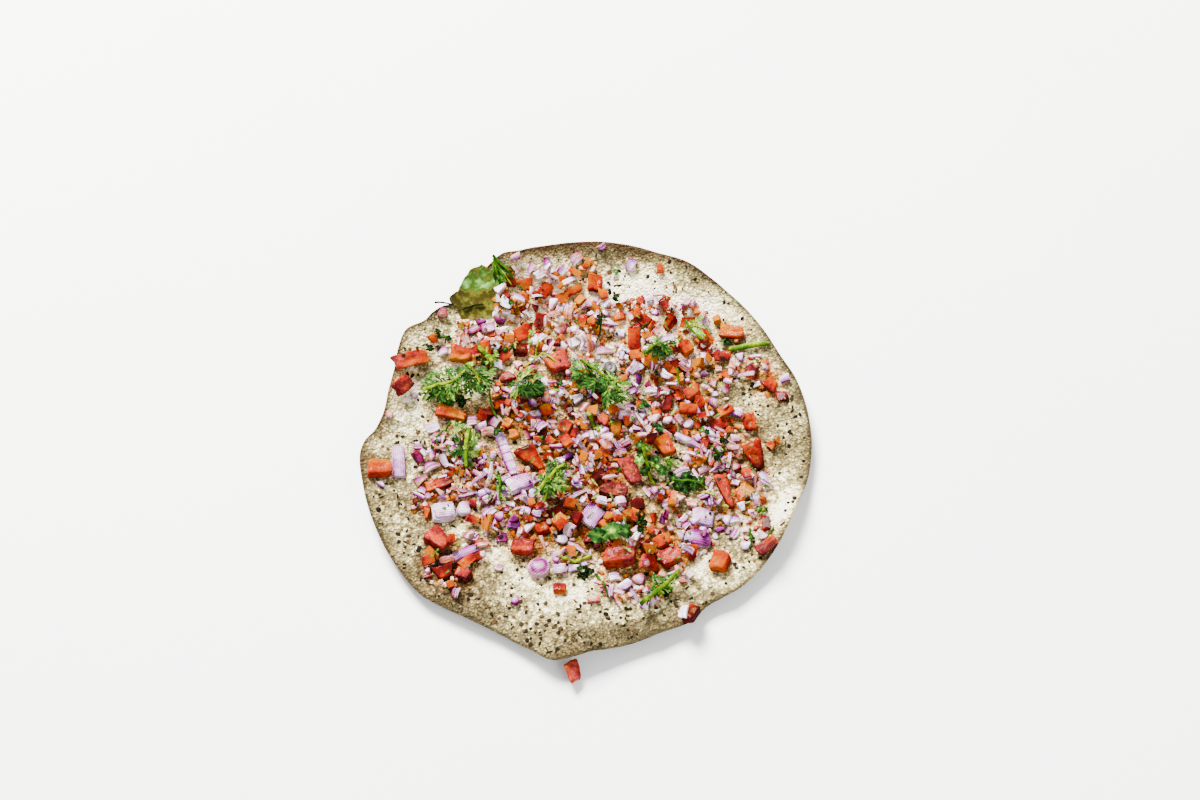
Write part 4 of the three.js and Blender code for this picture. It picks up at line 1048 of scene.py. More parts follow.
def spice_material():
    """Crushed peppercorn and cumin: nearly black to dark brown."""
    look = Look("dark_spice")
    colour = look.ramp(look.value("tint"), SPICE_TONES)
    look.bump(look.noise(2500, 2), 0.0001, 0.5)
    return look.finish(colour, 0.6, Specular_IOR_Level=0.02)


def tomato_material():
    """Wet cut tomato: orange to red skin, peach-coloured grainy pulp, yellowish gel in the hollows."""
    look = Look("cut_tomato")
    tint = look.vary(look.value("tint"), look.noise(150, 2), 0.35, 0.65, -0.18, 0.18)
    tint = look.vary(tint, look.noise(620, 4, 0.7), 0.3, 0.7, -0.2, 0.2)
    # Painted shade: darker red towards the bottom of each piece.
    tint = look.vary(tint, look.value("foot"), 0.0, 1.0, -0.04, 0.1)
    skin = look.ramp(tint, TOMATO_SKIN_TONES)
    pulp = look.ramp(tint, TOMATO_PULP_TONES)
    grain = look.spread(look.noise(430, 4, 0.7), 0.38, 0.62, 0.25, 1.1)
    cut = look.math("SUBTRACT", 1.0, look.math("MULTIPLY", look.value("skin"), 0.8))
    share = look.math("MULTIPLY", look.math("MULTIPLY", look.value("pulp"), cut), grain)
    colour = look.mix(look.math("MINIMUM", share, 1.0), skin, pulp)
    gel = look.math("MULTIPLY", look.value("dent"), look.spread(look.noise(700, 2), 0.4, 0.6))
    colour = look.mix(look.math("MULTIPLY", gel, 0.35), colour, rgb(SEED_GEL))
    flecks = look.math("MULTIPLY", share, look.spread(look.noise(950, 2), 0.54, 0.66, 0.0, 0.4))
    colour = look.mix(flecks, colour, rgb(PULP_FLECKS))
    look.bump(look.noise(520, 4, 0.7), 0.0009, 0.6)
    return look.finish(
        colour, 0.5, Subsurface_Weight=0.3, Subsurface_Scale=0.002, Specular_IOR_Level=0.0, Coat_Weight=0.04,
        Coat_Roughness=0.03,
    )


def onion_material():
    """Chopped red onion: white to lilac flesh in fine stripes, its outer layers purple or magenta."""
    look = Look("chopped_red_onion")
    stripes = look.math("SINE", look.math("MULTIPLY", look.value("grain"), 7.0))
    tint = look.vary(look.value("tint"), look.noise(260, 2), 0.3, 0.7, -0.15, 0.15)
    depth = look.math("MULTIPLY", look.math("ADD", tint, 0.12), look.value("skin"))
    depth = look.vary(depth, stripes, -1.0, 1.0, -0.03, 0.05)
    depth = look.vary(depth, look.noise(420, 3), 0.3, 0.7, -0.08, 0.1)
    colour = look.ramp(depth, ONION_TONES)
    # Juice and painted shade: more orange-brown towards the bottom of each bit.
    juice = look.math("ADD", look.value("juice"), look.math("MULTIPLY", look.value("foot"), 0.3))
    juice = look.math("MULTIPLY", juice, look.spread(look.noise(260, 3), 0.32, 0.6, 0.35, 1.0))
    colour = look.mix(juice, colour, rgb(ONION_JUICE), "MULTIPLY")
    look.bump(look.math("ADD", stripes, look.math("MULTIPLY", look.noise(600, 3), 4.0)), 0.00015, 0.6)
    return look.finish(
        colour, 0.5, Subsurface_Weight=0.5, Subsurface_Scale=0.002, Specular_IOR_Level=0.0, Coat_Weight=0.06,
        Coat_Roughness=0.05,
    )


def leaf_material(name, tones, rough=0.4):
    """Fresh leaf: veins lighter than the blade, which varies from spot to spot."""
    look = Look(name)
    tint = look.vary(look.value("tint"), look.noise(380, 3), 0.3, 0.7, -0.24, 0.24)
    tint = look.vary(tint, look.value("vein"), 0.0, 1.0, -0.2, 0.36)
    colour = look.ramp(tint, tones)
    look.bump(look.math("ADD", look.noise(1200, 3), look.value("vein")), 0.0002, 0.5)
    return look.finish(
        colour, rough, Subsurface_Weight=0.12, Subsurface_Scale=0.001, Specular_IOR_Level=0.0,
        Coat_Weight=0.03, Coat_Roughness=0.08,
    )


WAFER_LOOK = wafer_material()
SPICE_LOOK = spice_material()
TOMATO_LOOK = tomato_material()
ONION_LOOK = onion_material()
CORIANDER_LOOK = leaf_material("fresh_coriander", CORIANDER_TONES)
STEM_LOOK = leaf_material("coriander_stalk", STALK_TONES, rough=0.35)
LETTUCE_LOOK = leaf_material("pale_leaf", PALE_LEAF_TONES)
RING_LOOK = leaf_material("spring_onion", RING_TONES)


# The wafer

def wafer_net():
    """A net of triangles in six sectors, each ring of it one step nearer the rim."""
    bpy.ops.mesh.primitive_circle_add(vertices=6, radius=1, fill_type="TRIFAN")
    bpy.ops.object.mode_set(mode="EDIT")
    for cuts in NET_CUTS:
        bpy.ops.mesh.select_all(action="SELECT")
        bpy.ops.mesh.subdivide(number_cuts=cuts)
    bpy.ops.object.mode_set(mode="OBJECT")
    thing = bpy.context.active_object
    c = corners_of(thing)
    third = math.pi / 3
    angle = (np.arctan2(c[:, 1], c[:, 0]) - math.pi / 6) % (2 * math.pi)
    sector = np.minimum(np.floor(angle / third + 1e-6), 5)
    a = math.pi / 6 + sector * third
    across = (c[:, 1] * np.cos(a) - c[:, 0] * np.sin(a)) / math.sin(third)
    along = c[:, 0] * np.cos(a) + c[:, 1] * np.sin(a) - across * math.cos(third)
    share = across + along
    around = a + third * across / np.maximum(share, 1e-9)
    radius = rim_at(around)[0] * share ** NET_POWER
    x = radius * np.cos(around)
    y = radius * np.sin(around)
    return thing, x, y, share


def make_wafer():
    thing, x, y, share = wafer_net()
    calm = 1 - np.clip((share - 0.93) / 0.06, 0, 1)
    relief = pimples(x, y) * (0.15 + 0.85 * calm)
    top = np.stack([x, y, topside(x, y) + relief], axis=1)
    set_corners(thing, top)
    thicken(thing, THICKNESS)
    shape = finish_shape()
    tuck = 1 - 0.006 * share ** 30
    bottom = np.stack([x * tuck, y * tuck, underside(x, y) + 0.15 * share ** 30], axis=1)
    top[:, 2] -= 0.25 * share ** 60
    corners = np.concatenate([top, bottom])
    wobble = 0.05 * np.sin(0.21 * x + 1.3 * np.sin(0.17 * y)) + 0.05 * np.sin(0.33 * y - 0.2 * x + 2)
    pale = 0.48 + wobble
    # The pale and khaki patches are partly the dough's own tone, partly painted highlight and shade.
    for cx, cy, rx, ry, strength in TONE_AND_LIGHT_PATCHES:
        pale = pale + 0.3 * strength * np.exp(-((x - cx) / rx) ** 2 - ((y - cy) / ry) ** 2)
    # Painted shade: darker in a band along the rim and darkest in a thin line at its very edge.
    pale = pale - 0.1 * np.clip((share - 0.955) / 0.03, 0, 1) - 0.3 * np.clip((share - 0.985) / 0.01, 0, 1)
    salad = np.minimum(1, salad_at(x, y))
    # Painted light: the wafer under the salad is lighter, most of all on the far side, as painted highlight
    # where it gleams and where more light falls.
    pale = pale + (0.08 + 0.2 * np.clip((y - 30) / 20, 0, 1)) * salad
    # Juice marks and painted shade under the salad and round the pieces, more on the near side.
    wet_and_shaded = (0.45 + 0.15 * np.clip((40 - y) / 30, 0, 1)) * salad + 0.8 * ground.soaked_and_shaded(x, y) - 0.1
    for cx, cy, radius in JUICE_PATCHES:
        wet_and_shaded = wet_and_shaded + 0.75 * hill(x, y, cx, cy, radius)
    wet_and_shaded = np.clip(wet_and_shaded - 1.2 * np.clip(pale - 0.65, 0, 1), 0, 1.8)
    # Toasted brown and painted shade on the rim's inner wall.
    toast_and_shade = np.zeros(len(x))
    for cx, cy, rx, ry, strength in TOAST_AND_SHADE_PATCHES:
        toast_and_shade = toast_and_shade + strength * np.exp(-((x - cx) / rx) ** 2 - ((y - cy) / ry) ** 2)
    toast_and_shade = np.clip(toast_and_shade * np.clip((share - 0.9) / 0.05, 0, 1), 0, 0.9)
    values = {
        "toast_and_shade": np.concatenate([toast_and_shade, toast_and_shade]),
        "pale": np.concatenate([pale, pale - 0.15]),
        "wet_and_shaded": np.concatenate([wet_and_shaded, 0 * wet_and_shaded]),
        "relief": np.concatenate([relief, 0 * relief]),
    }
    wafer = new_piece("roasted_wafer", corners, shape["faces"], WAFER_LOOK, values)
    dress(wafer, "wafer", 65, "papad")


# The larger pieces, each in its node's place

def hero_seat(name, length, turn):
    """A node's middle in mm about the wafer's, the upright of the slope there and a piece's turn on it."""
    low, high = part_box(name)
    middle = (np.array(low) + np.array(high)) / 2 / MM - PLAN_SHIFT
    up = lean_at(middle[0], middle[1], length)
    return middle, up, turned(up, turn)


def mark_ground(middle, up, size, turn):
    base = middle[2] - size[2] / 2
    ground.lay(middle[0], middle[1], size, turn, up, base, keep=True)


def tomato_hero(name, seed, length, width, height, turn, tint, pulp, taper):
    """A large cut piece with a rounded skin side, crisp cut faces and its own uneven form."""
    draw = np.random.default_rng(seed)
    rounded_block(8, 0.1 if height < 5 else 0.18)
    bpy.ops.transform.vertex_random(offset=0.012, seed=seed)
    bpy.ops.object.mode_set(mode="OBJECT")
    shape = finish_shape()
    c = shape["corners"]
    skin = np.clip((c[:, 1] - 0.3) / 0.1, 0, 1)
    dent = np.exp(-((c[:, 0] - draw.uniform(-0.2, 0.2)) ** 2 / 0.06 + (c[:, 1] + 0.08) ** 2 / 0.03))
    dent *= c[:, 2] > 0.2
    c[:, 2] -= 0.25 * dent * draw.uniform(0.2, 1)
    c[:, 2] *= 1 - draw.uniform(0, 0.45) * (c[:, 1] + 0.5)
    c[:, 2] += draw.uniform(-0.3, 0.3) * c[:, 0] * c[:, 1] * 2
    c[:, 2] += 0.04 * np.sin(11 * c[:, 0] + 5 * draw.random()) * np.sin(9 * c[:, 1] + 5 * draw.random())
    c[:, 1] *= (1 - taper * (c[:, 0] + 0.5)) / (1 - 0.4 * taper)
    uneven_plan(c, draw, 0.3)
    warp(c, draw, 0.03)
    c[:, 1] += draw.uniform(-0.25, 0.25) * (0.2 - c[:, 0] ** 2)
    c[:, :2] += 0.012 * np.sin(14 * c[:, 1::-1] + 9 * draw.random(2))
    size = np.array([length, width, height])
    middle, up, matrix = hero_seat(name, length, turn)
    if name == "tomato_fallen":
        up = UPRIGHT
        matrix = turned(up, turn, 14)
    mark_ground(middle, up, size, turn)
    corners = (c * size) @ matrix.T + middle
    corners[:, 2] += max(0, 0.02 - corners[:, 2].min())
    tints = tint + c @ draw.normal(0, (0.35, 0.3, 0.2), 3)
    pulps = np.clip(pulp * (0.8 + c @ draw.normal(0, 0.7, 3)), 0, 1)
    # Painted shade: foot makes the piece darker red towards its bottom.
    foot = np.clip(0.5 - c[:, 2], 0, 1)
    values = {"tint": tints, "pulp": pulps, "skin": skin, "dent": np.clip(dent, 0, 1), "foot": foot}
    # Juice and painted shade round the large piece.
    ground.drip_and_shade(middle[0], middle[1], size, turn, 5)
    piece = new_piece("cut_" + name, corners, shape["faces"], TOMATO_LOOK, values)
    dress(piece, "tomato", 45, name)


def onion_hero(name, seed, length, width, height, turn, bend, tint, blush, roundness):
    """A strip or plate of two or three onion layers, its outermost with the coloured skin."""
    draw = np.random.default_rng(seed)
    layers = 2 if height < 2.5 else 3
    thick = height / layers
    pile = Pile()
    for k in range(layers):
        edge = flat_slab(36 if length > 15 else 12, 6, 0.8).modifiers.new("edge", "BEVEL")
        edge.width = 0.03
        edge.segments = 2
        bpy.ops.object.modifier_apply(modifier="edge")
        layer = finish_shape()
        c = layer["corners"]
        x = c[:, 0] * length * (1 - 0.06 * k * draw.random())
        y = c[:, 1] * width * (1 - 0.12 * k * draw.random())
        y = y * (1 - 0.3 * (c[:, 0] * draw.uniform(0, 1)) ** 2)
        y = y + 0.05 * width * np.sin(3 * c[:, 0] + seed)
        y = y * (1 - roundness * (1 - np.sqrt(np.maximum(0.1, 1 - 4 * c[:, 0] ** 2))))
        cup = bend * (0.5 - 4 * c[:, 0] ** 2) * 0.5 - 0.6 * height * c[:, 1] ** 2
        z = (c[:, 2] + k) * thick - height / 2 + cup
        corners = np.stack([x + draw.uniform(-0.2, 0.2), y + draw.uniform(-0.2, 0.2), z], axis=1)
        pile.add(layer, corners, skin=np.where(c[:, 2] > 0.4, 1.0, 0.4) * (0.25 + 0.75 * (k + 1) / layers))
    c, values = pile.joined()
    skin = values["skin"]
    side = c[:, 1] / width
    along = c[:, 0] / length
    if name == "onion_strip_middle":
        skin = 0.3 + 4.5 * np.clip(-side - 0.22, 0, 0.3) + np.exp(-(np.sin(5 * math.pi * along) / 0.2) ** 2)
    elif name == "onion_near_left":
        skin = 0.3 + 0.9 * np.exp(-((np.hypot(side, along) - 0.36) / 0.1) ** 2)
    else:
        skin = np.clip(skin * (0.45 + np.abs(side) + 2.2 * np.clip(side - 0.3, 0, 1)), 0, 1.2)
    middle, up, matrix = hero_seat(name, length, turn)
    mark_ground(middle, up, (length, width, height), turn)
    # foot adds juice colour and painted shade towards the bottom of the piece.
    foot = np.clip(0.5 - c[:, 2] / height, 0, 1)
    juice = np.full(len(c), 0.45 if name == "onion_near_left" else 0.12)
    values = {"tint": tint + blush * along, "skin": skin, "grain": c[:, 1], "juice": juice, "foot": foot}
    piece = new_piece("cut_" + name, c @ matrix.T + middle, pile.faces, ONION_LOOK, values)
    dress(piece, "onion", 50, name)


for number, (name, row) in enumerate(LARGE_TOMATO.items()):
    tomato_hero(name, TOMATO_SEED + number, *row)
for number, (name, row) in enumerate(LARGE_ONION.items()):
    onion_hero(name, ONION_SEED + number, *row)

# The placed pieces, the dice of the solid, and the finer bits that fill up the heaps

# The places of the leaf at the rim and of the long stalk stay clear
dx = ground.x + 48
dy = ground.y - 68.5
ground.kept |= np.hypot((0.87 * dx + 0.5 * dy) / 9, (0.87 * dy - 0.5 * dx) / 7) < 1
stalk_middle, stalk_up, stalk_matrix = hero_seat(
    "green_stalk_far_right", LONG_STALK_SEAT[0], LONG_STALK_TURN,
)
mark_ground(stalk_middle, stalk_up, LONG_STALK_SEAT, LONG_STALK_TURN)

for x, y, length, width, turn, tint in PLACED_TOMATO:
    size = (length, width, 0.55 * width + 0.4 * pick.random())
    lay_bit("tomato", x, y, size, turn, tint, pick.uniform(-20, 20), True, FINE_TOMATO_SHAPES)
for x, y, length, width, turn, tint in PLACED_ONION:
    size = (length, width, min(2.6, 0.38 * width + 0.5 * pick.random()))
    lay_bit("onion", x, y, size, turn, tint, pick.uniform(-20, 20), keep=True)
for x, y, length, width, height, turn, kind, tint in LOOSE_BITS:
    lay_bit(kind, x, y, (length, width, height), turn, tint, keep=True)


def count_in(radius, per_mm2):
    return round(per_mm2 * math.pi * radius * radius)


def clump_dice(index, cx, cy, radius, share):
    """The dice of one clump, with the same draws as in the solid."""
    draw = seeded(index + 1)
    count = count_in(radius, DICE_PER_MM2)
    start = 2 * math.pi * draw()
    for i in range(count):
        reach = 0.95 * radius * math.sqrt((i + 0.3 + 0.4 * draw()) / count)
        angle = start + i * GOLDEN_TURN
        kind = "tomato" if draw() < share else "onion"
        size = [between(draw, limits) for limits in (TOMATO_DICE if kind == "tomato" else ONION_DICE)]
        turn = 360 * draw()
        tilt = 50 * (draw() - 0.5)
        for _ in range(24):
            draw()
        yield kind, cx + reach * math.cos(angle), cy + reach * math.sin(angle), size, turn, tilt


def on_wafer(x, y, share=0.95):
    return math.hypot(x, y) < share * rim_at(math.atan2(y, x))[0]


def random_place(cx, cy, radius):
    reach = radius * math.sqrt(pick.random())
    angle = 2 * math.pi * pick.random()
    return cx + reach * math.cos(angle), cy + reach * math.sin(angle)


for cx, cy, radius, share in CLUMPS:
    for _ in range(count_in(radius, MASH_PER_MM2)):
        x, y = random_place(cx, cy, radius)
        size = [pick.uniform(*limits) for limits in MASH]
        turn = 360 * pick.random()
        if on_wafer(x, y, 0.93) and ground.crowded(x, y, size, turn)[0] < 0.3:
            kind = "tomato" if pick.random() < 0.4 + 0.5 * share else "onion"
            lay_bit(kind, x, y, size, turn, 0.8 * random_tint(kind, y), shapes=LUMP_SHAPES, juice=0.8)

for index, clump in enumerate(CLUMPS):
    for kind, x, y, size, turn, tilt in clump_dice(index, *clump):
        if salad_at(x, y) < HEAP_EDGE + 0.04 or not on_wafer(x, y):
            continue
        taken, _ = ground.crowded(x, y, size, turn)
        if taken < 0.22:
            lay_bit(kind, x, y, size, turn, random_tint(kind, y), tilt)

for cx, cy, radius, share in CLUMPS:
    for _ in range(count_in(radius, SMALL_PER_MM2)):
        x, y = random_place(cx, cy, radius)
        kind = "tomato" if pick.random() < (0.6 if y > FAR_SIDE else 0.8) * share else "onion"
        sliver = kind == "onion" and pick.random() < 0.28
        sort = SMALL_TOMATO if kind == "tomato" else ONION_SLIVER if sliver else SMALL_ONION
        grown = pick.random() ** 1.5
        size = [low + (high - low) * min(1, grown * pick.uniform(0.8, 1.2)) for low, high in sort]
        turn = 360 * pick.random()
        if not on_wafer(x, y, 0.93):
            continue
        taken, depth = ground.crowded(x, y, size, turn)
        if taken < 0.2 and depth < HEAP_DEPTH:
            shapes = SLIVER_SHAPES if sliver else None
            lay_bit(kind, x, y, size, turn, random_tint(kind, y), pick.uniform(-30, 30), shapes=shapes)

onion_bits.piece("chopped_onion", ONION_LOOK, "salad", "chopped_salad_1", "chopped_salad_2")
tomato_bits.piece("chopped_tomato", TOMATO_LOOK, "salad", "chopped_salad_1", "chopped_salad_2")


# The greens

def make_rim_leaf():
    """The pale leaf stuck to the upper left rim: light green at its outer edge, olive where it lies flat."""
    bpy.ops.mesh.primitive_grid_add(x_subdivisions=26, y_subdivisions=22, size=1)
    thing = bpy.context.active_object
    c = corners_of(thing)
    u = 2 * c[:, 0]
    v = 2 * c[:, 1]
    round_u = u * np.sqrt(1 - 0.42 * v ** 2)
    round_v = v * np.sqrt(1 - 0.42 * u ** 2)
    edge = 1 + 0.05 * np.sin(7 * np.arctan2(v, u)) * np.hypot(u, v) ** 2
    a = math.radians(RIM_LEAF_TURN)
    px = RIM_LEAF_REACH[0] * round_u * edge
    py = RIM_LEAF_REACH[1] * round_v * edge
    x = RIM_LEAF_MIDDLE[0] + px * math.cos(a) - py * math.sin(a)
    y = RIM_LEAF_MIDDLE[1] + px * math.sin(a) + py * math.cos(a)
    inward = np.minimum(1, 1.02 * rim_at(np.arctan2(y, x))[0] / np.hypot(x, y))
    x = x * inward
    y = y * inward
    wave = 0.35 * np.sin(0.9 * x + 0.4 * y) * np.hypot(u, v)
    z = topside(x, y) + 0.75 + wave + 0.25 * np.maximum(0, v)
    set_corners(thing, np.stack([x, y, z], axis=1))
    thicken(thing, 0.35)
    shape = finish_shape()
    x = shape["corners"][:, 0]
    y = shape["corners"][:, 1]
    lobe = np.clip(y - 72.8 - 0.24 * (x + 52) + 0.5 * np.sin(1.3 * x), 0, 1)
    strip = np.clip(1.2 * (y - 78.2 - 0.1 * (x + 46) + 0.5 * np.sin(x)), 0, 1)
    strip = strip * np.clip((x + 53) / 4, 0, 1)
    foot = hill(x, y, -56, 64, 4)
    values = {
        "tint": 0.27 + 0.6 * lobe - 0.33 * strip - 0.25 * foot + 0.05 * np.sin(0.7 * x + y),
        "vein": 0.6 * np.exp(-(np.sin(0.5 * x - 0.9 * y) / 0.25) ** 2) * lobe,
    }
    near = np.hypot((ground.x + 48) / 10, (ground.y - 72) / 10) < 1
    ground.z[near] = np.maximum(ground.z[near], ground.bare[near] + 0.9)
    leaf = new_piece("pale_rim_leaf", shape["corners"], shape["faces"], LETTUCE_LOOK, values)
    dress(leaf, "lettuce", 60, "lettuce_scrap_rim")


def stem_shape():
    """A straight stalk from x = 0 to 1, modelled once and bent for each use."""
    bpy.ops.mesh.primitive_circle_add(vertices=7, radius=0.5, fill_type="NGON", rotation=ALONG_X)
    bpy.ops.object.mode_set(mode="EDIT")
    bpy.ops.mesh.select_all(action="SELECT")
    for _ in range(9):
        bpy.ops.mesh.extrude_region_move(TRANSFORM_OT_translate={"value": (1 / 9, 0, 0)})
    bpy.ops.mesh.select_all(action="SELECT")
    bpy.ops.mesh.normals_make_consistent(inside=False)
    bpy.ops.object.mode_set(mode="OBJECT")
    bpy.ops.object.transform_apply(location=True, rotation=True, scale=True)
    return finish_shape()


STEM_SHAPE = stem_shape()
leaf_pile = Pile()
stem_pile = Pile()
make_rim_leaf()


def lay_leaf(shape, x, y, length, width, heading, tint, tilt):
    """Sets a leaf down on what lies there, a little tilted."""
    size = (length, width, 0.5)
    up, base = ground.rest(x, y, size, heading, 0.12)
    matrix = turned(up, heading, tilt)
    corners = (shape["corners"] * (length, width, 0.5 * (length + width) * 0.7)) @ matrix.T
    corners += np.array([x, y, base + 0.2 + 0.06 * width + 0.004 * abs(tilt) * length])
    ground.lay(x, y, (0.8 * length, 0.7 * width, 0.5 + 0.01 * abs(tilt) * length), heading, up, base)
    leaf_pile.add(shape, corners, tint=tint, vein=shape["vein"])


def lay_stem(x0, y0, x1, y1, thick, bow, tint, raised=0.0):
    """A stalk from one place to another, bowed sideways, that follows what it lies on."""
    c = STEM_SHAPE["corners"]
    t = c[:, 0]
    length = math.hypot(x1 - x0, y1 - y0)
    along = np.array([x1 - x0, y1 - y0]) / length
    across = np.array([-along[1], along[0]])
    steps = np.linspace(0, 1, 10)
    side = bow * 4 * steps * (1 - steps)
    path = np.array([x0, y0]) + steps[:, None] * length * along + side[:, None] * across
    floor = ground.at(path[:, 0], path[:, 1])
    floor = np.maximum(floor, np.convolve(np.pad(floor, 1, "edge"), [0.3, 0.4, 0.3], "valid"))
    height = floor + 0.4 * thick + raised
    taper = thick * (1 - 0.25 * t) * (1 + 0.06 * np.sin(17 * t))
    px = np.interp(t, steps, path[:, 0])
    py = np.interp(t, steps, path[:, 1])
    pz = np.interp(t, steps, height)
    corners = np.stack([px, py, pz], axis=1)
    corners[:, :2] += (c[:, 1] * taper)[:, None] * across
    corners[:, 2] += c[:, 2] * taper
    stem_pile.add(STEM_SHAPE, corners, tint=tint, vein=0.3 + 0.4 * np.sin(9 * t) ** 2)


def lay_sprig(x, y, length, width, turn, leaflets, tint, feathery=False):
    """A torn sprig: a stalk with leaflets crowded round it that point away from its foot."""
    a = math.radians(turn)
    along = np.array([math.cos(a), math.sin(a)])
    across = np.array([-along[1], along[0]])
    reach = 0.42 * length
    if leaflets > 2:
        foot = np.array([x, y]) - reach * along
        tip = np.array([x, y]) + 0.6 * reach * along
        lay_stem(*foot, *tip, 0.9, pick.uniform(-1, 1), min(1, tint + 0.25), 0.3)
    leaflets = round(1.4 * leaflets) if feathery else leaflets
    share = 0.45 if leaflets > 2 else 0.9
    for i in range(leaflets):
        spread = math.sqrt((i + 0.4) / leaflets)
        angle = i * GOLDEN_TURN + turn
        u = 0.38 * length * spread * math.cos(angle)
        v = 0.38 * width * spread * math.sin(angle)
        place = np.array([x, y]) + u * along + v * across
        size = min(8.0, share * math.sqrt(length * width)) * pick.uniform(0.75, 1.2)
        heading = turn + math.degrees(math.atan2(v, u + 0.5 * reach)) + pick.uniform(-30, 30)
        shade = float(np.clip(tint + pick.uniform(-0.28, 0.28), 0, 1))
        shapes = FROND_SHAPES if feathery else LEAFLET_SHAPES
        shape = shapes[pick.integers(0, len(shapes))]
        if feathery:
            lay_leaf(shape, *place, 1.1 * size, 0.95 * size, heading, shade, pick.uniform(-18, 18))
        else:
            lay_leaf(shape, *place, size, 0.85 * size, heading, shade, pick.uniform(-35, 35))


for row in SPRIGS:
    lay_sprig(*row)
for row in FEATHERY_SPRIGS:
    lay_sprig(*row, feathery=True)
for x, y, length, width, turn, tint in FLAT_LEAFLETS:
    lay_leaf(LEAFLET_SHAPES[0], x, y, length, width, turn, tint, pick.uniform(-12, 12))
for row in STEMS:
    lay_stem(*row)
for _ in range(GREEN_FLECKS):
    cx, cy, radius, _ = CLUMPS[pick.integers(0, len(CLUMPS))]
    x, y = random_place(cx, cy, radius)
    if on_wafer(x, y, 0.9) and salad_at(x, y) > HEAP_EDGE:
        fine = pick.random() < 0.4
        size = pick.uniform(2.5, 5.0) if fine else pick.uniform(1.2, 2.8)
        shape = FROND_SHAPES[1] if fine else LEAFLET_SHAPES[1]
        heading = 360 * pick.random()
        tint = pick.uniform(0, 0.9)
        lay_leaf(shape, x, y, size, 0.5 * size, heading, tint, pick.uniform(-30, 30))
leaf_pile.piece(
    "coriander_leaves", CORIANDER_LOOK, "coriander", "coriander_left_outer", "coriander_left_inner",
    "coriander_upper_middle", "coriander_middle_outer", "coriander_middle_inner", "coriander_lower_left",
    "coriander_bright_middle", "coriander_right", "coriander_dark_right", "coriander_flat_near",
    "coriander_near_right", "coriander_far_rim",
)
stem_pile.piece("coriander_stalks", STEM_LOOK, "coriander", "coriander_lower_left", "coriander_near_right")


def make_ring_slice():
    """A small pale ring, a slice across a spring onion, near the middle of the far half."""
    bpy.ops.mesh.primitive_torus_add(
        major_segments=28, minor_segments=10, major_radius=0.34, minor_radius=0.17,
    )
    shape = finish_shape()
    c = shape["corners"]
    up, base = ground.rest(*RING_PLACE, (6, 6, 2), 0)
    reach = np.hypot(c[:, 0], c[:, 1])
    body = c * RING_SIZE @ turned(up, 20, 12).T + (*RING_PLACE, base + 1.3)
    values = {"tint": 0.5, "vein": 0.9 * np.clip(1.6 - 3.6 * reach, 0, 1) - 0.1}
    ring = new_piece("spring_onion_ring", body, shape["faces"], RING_LOOK, values)
    dress(ring, "salad", 60)


def make_long_stalk():
    """The green stalk at the far right, thicker than the rest and a little bent."""
    bpy.ops.mesh.primitive_cylinder_add(vertices=12, radius=0.5, depth=1, rotation=ALONG_X)
    bpy.ops.object.transform_apply(location=True, rotation=True, scale=True)
    bpy.ops.object.mode_set(mode="EDIT")
    for k in range(1, 12):
        bpy.ops.mesh.select_all(action="SELECT")
        bpy.ops.mesh.bisect(plane_co=(k / 12 - 0.5, 0, 0), plane_no=(1, 0, 0))
    bpy.ops.object.mode_set(mode="OBJECT")
    shape = finish_shape()
    c = shape["corners"]
    t = 2 * c[:, 0]
    length, width, height = LONG_STALK_SIZE
    x = length * c[:, 0] - 0.3
    y = width * c[:, 1] * (1 - 0.35 * t ** 2) + 0.5 * np.sin(2.4 * t)
    z = height * c[:, 2] + 0.6 * (0.5 - t ** 2)
    body = np.stack([x, y, z], axis=1) @ stalk_matrix.T + stalk_middle
    values = {"tint": 0.72 + 0.12 * np.sin(5 * t), "vein": 0.5 + 0.4 * np.sign(c[:, 1]) * 0.5}
    stalk = new_piece("long_green_stalk", body, shape["faces"], STEM_LOOK, values)
    dress(stalk, "coriander", 60, "green_stalk_far_right")


make_ring_slice()
make_long_stalk()
make_wafer()


# The dark spice on the bare wafer

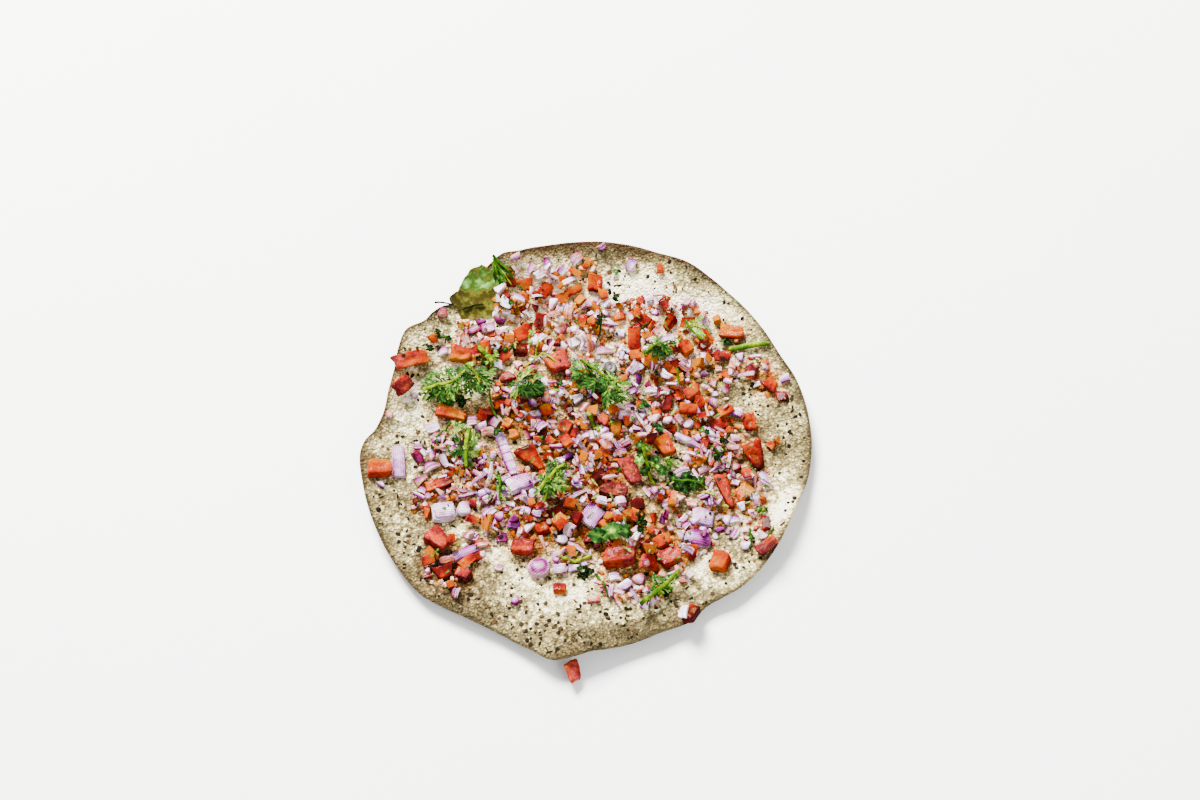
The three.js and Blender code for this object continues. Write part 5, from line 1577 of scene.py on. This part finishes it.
def make_spice():
    """Angular specks, some alone and most in loose clusters, on the bare wafer and a few on the salad."""
    pile = Pile()
    places = []
    for k in range(SPICE_CLUSTERS + SPICE_ALONE):
        x, y = random_place(0, 0, 0.99 * RADIUS)
        if k < SPICE_CLUSTERS:
            for _ in range(pick.integers(3, 9)):
                places.append((x + pick.normal(0, 2.6), y + pick.normal(0, 2.6)))
        else:
            places.append((x, y))
    for x, y in places:
        proud = float(ground.at(x, y) - topside(x, y)) > 1.2 or math.hypot(x + 48, y - 70) < 9
        covered = max(0.9 * proud, 0.8 * min(1, float(salad_at(x, y))))
        if not on_wafer(x, y, 0.98) or pick.random() < covered:
            continue
        long = pick.random() < 0.15
        length = pick.uniform(2.0, 3.4) if long else 0.8 + 1.9 * pick.random() ** 1.6
        width = pick.uniform(0.6, 1.0) if long else length * pick.uniform(0.55, 0.95)
        matrix = turned(lean_at(x, y, 2), 360 * pick.random())
        shape = LUMP_SHAPES[pick.integers(0, len(LUMP_SHAPES))]
        middle = np.array([x, y, float(ground.at(x, y)) + 0.08])
        corners = (shape["corners"] * (length, width, 0.6)) @ matrix.T + middle
        pile.add(shape, corners, tint=pick.random())
    pile.piece("dark_spice", SPICE_LOOK, "wafer", angle=20)


make_spice()

# The camera, the light and the floor

def make_stage():
    bpy.ops.mesh.primitive_plane_add(size=4, location=(0, 0, -0.0002))
    floor = bpy.context.active_object
    floor.name = "pale_floor"
    look = Look("pale_floor")
    shade = look.ramp(look.noise(3, 2), FLOOR_TONES)
    floor.data.materials.append(look.finish(shade, 0.8))
    floor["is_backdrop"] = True

    world = bpy.context.scene.world or bpy.data.worlds.new("studio")
    bpy.context.scene.world = world
    world.use_nodes = True
    background = world.node_tree.nodes["Background"]
    background.inputs["Color"].default_value = SKY_COLOUR
    background.inputs["Strength"].default_value = SKY_STRENGTH

    for name, place, size, power, colour in LIGHTS:
        data = bpy.data.lights.new(name, "AREA")
        data.size = size
        data.energy = power
        data.color = colour
        lamp = bpy.data.objects.new(name, data)
        lamp.location = place
        lamp.rotation_euler = (-Vector(place)).to_track_quat("-Z", "Y").to_euler()
        bpy.context.collection.objects.link(lamp)


def make_camera():
    data = bpy.data.cameras.new("photo_view")
    data.sensor_width = 36
    data.lens = CAMERA_LENS
    data.clip_start = 0.01
    camera = bpy.data.objects.new("photo_view", data)
    camera.location = (CAMERA_PLACE + PLAN_SHIFT) * MM
    camera.rotation_euler = (math.radians(CAMERA_TILT), 0, 0)
    bpy.context.collection.objects.link(camera)
    bpy.context.scene.camera = camera


make_stage()
make_camera()

boxes = {"solid": solid_box, "shown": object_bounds()}
{key: [list(corner) for corner in box] for key, box in boxes.items()}
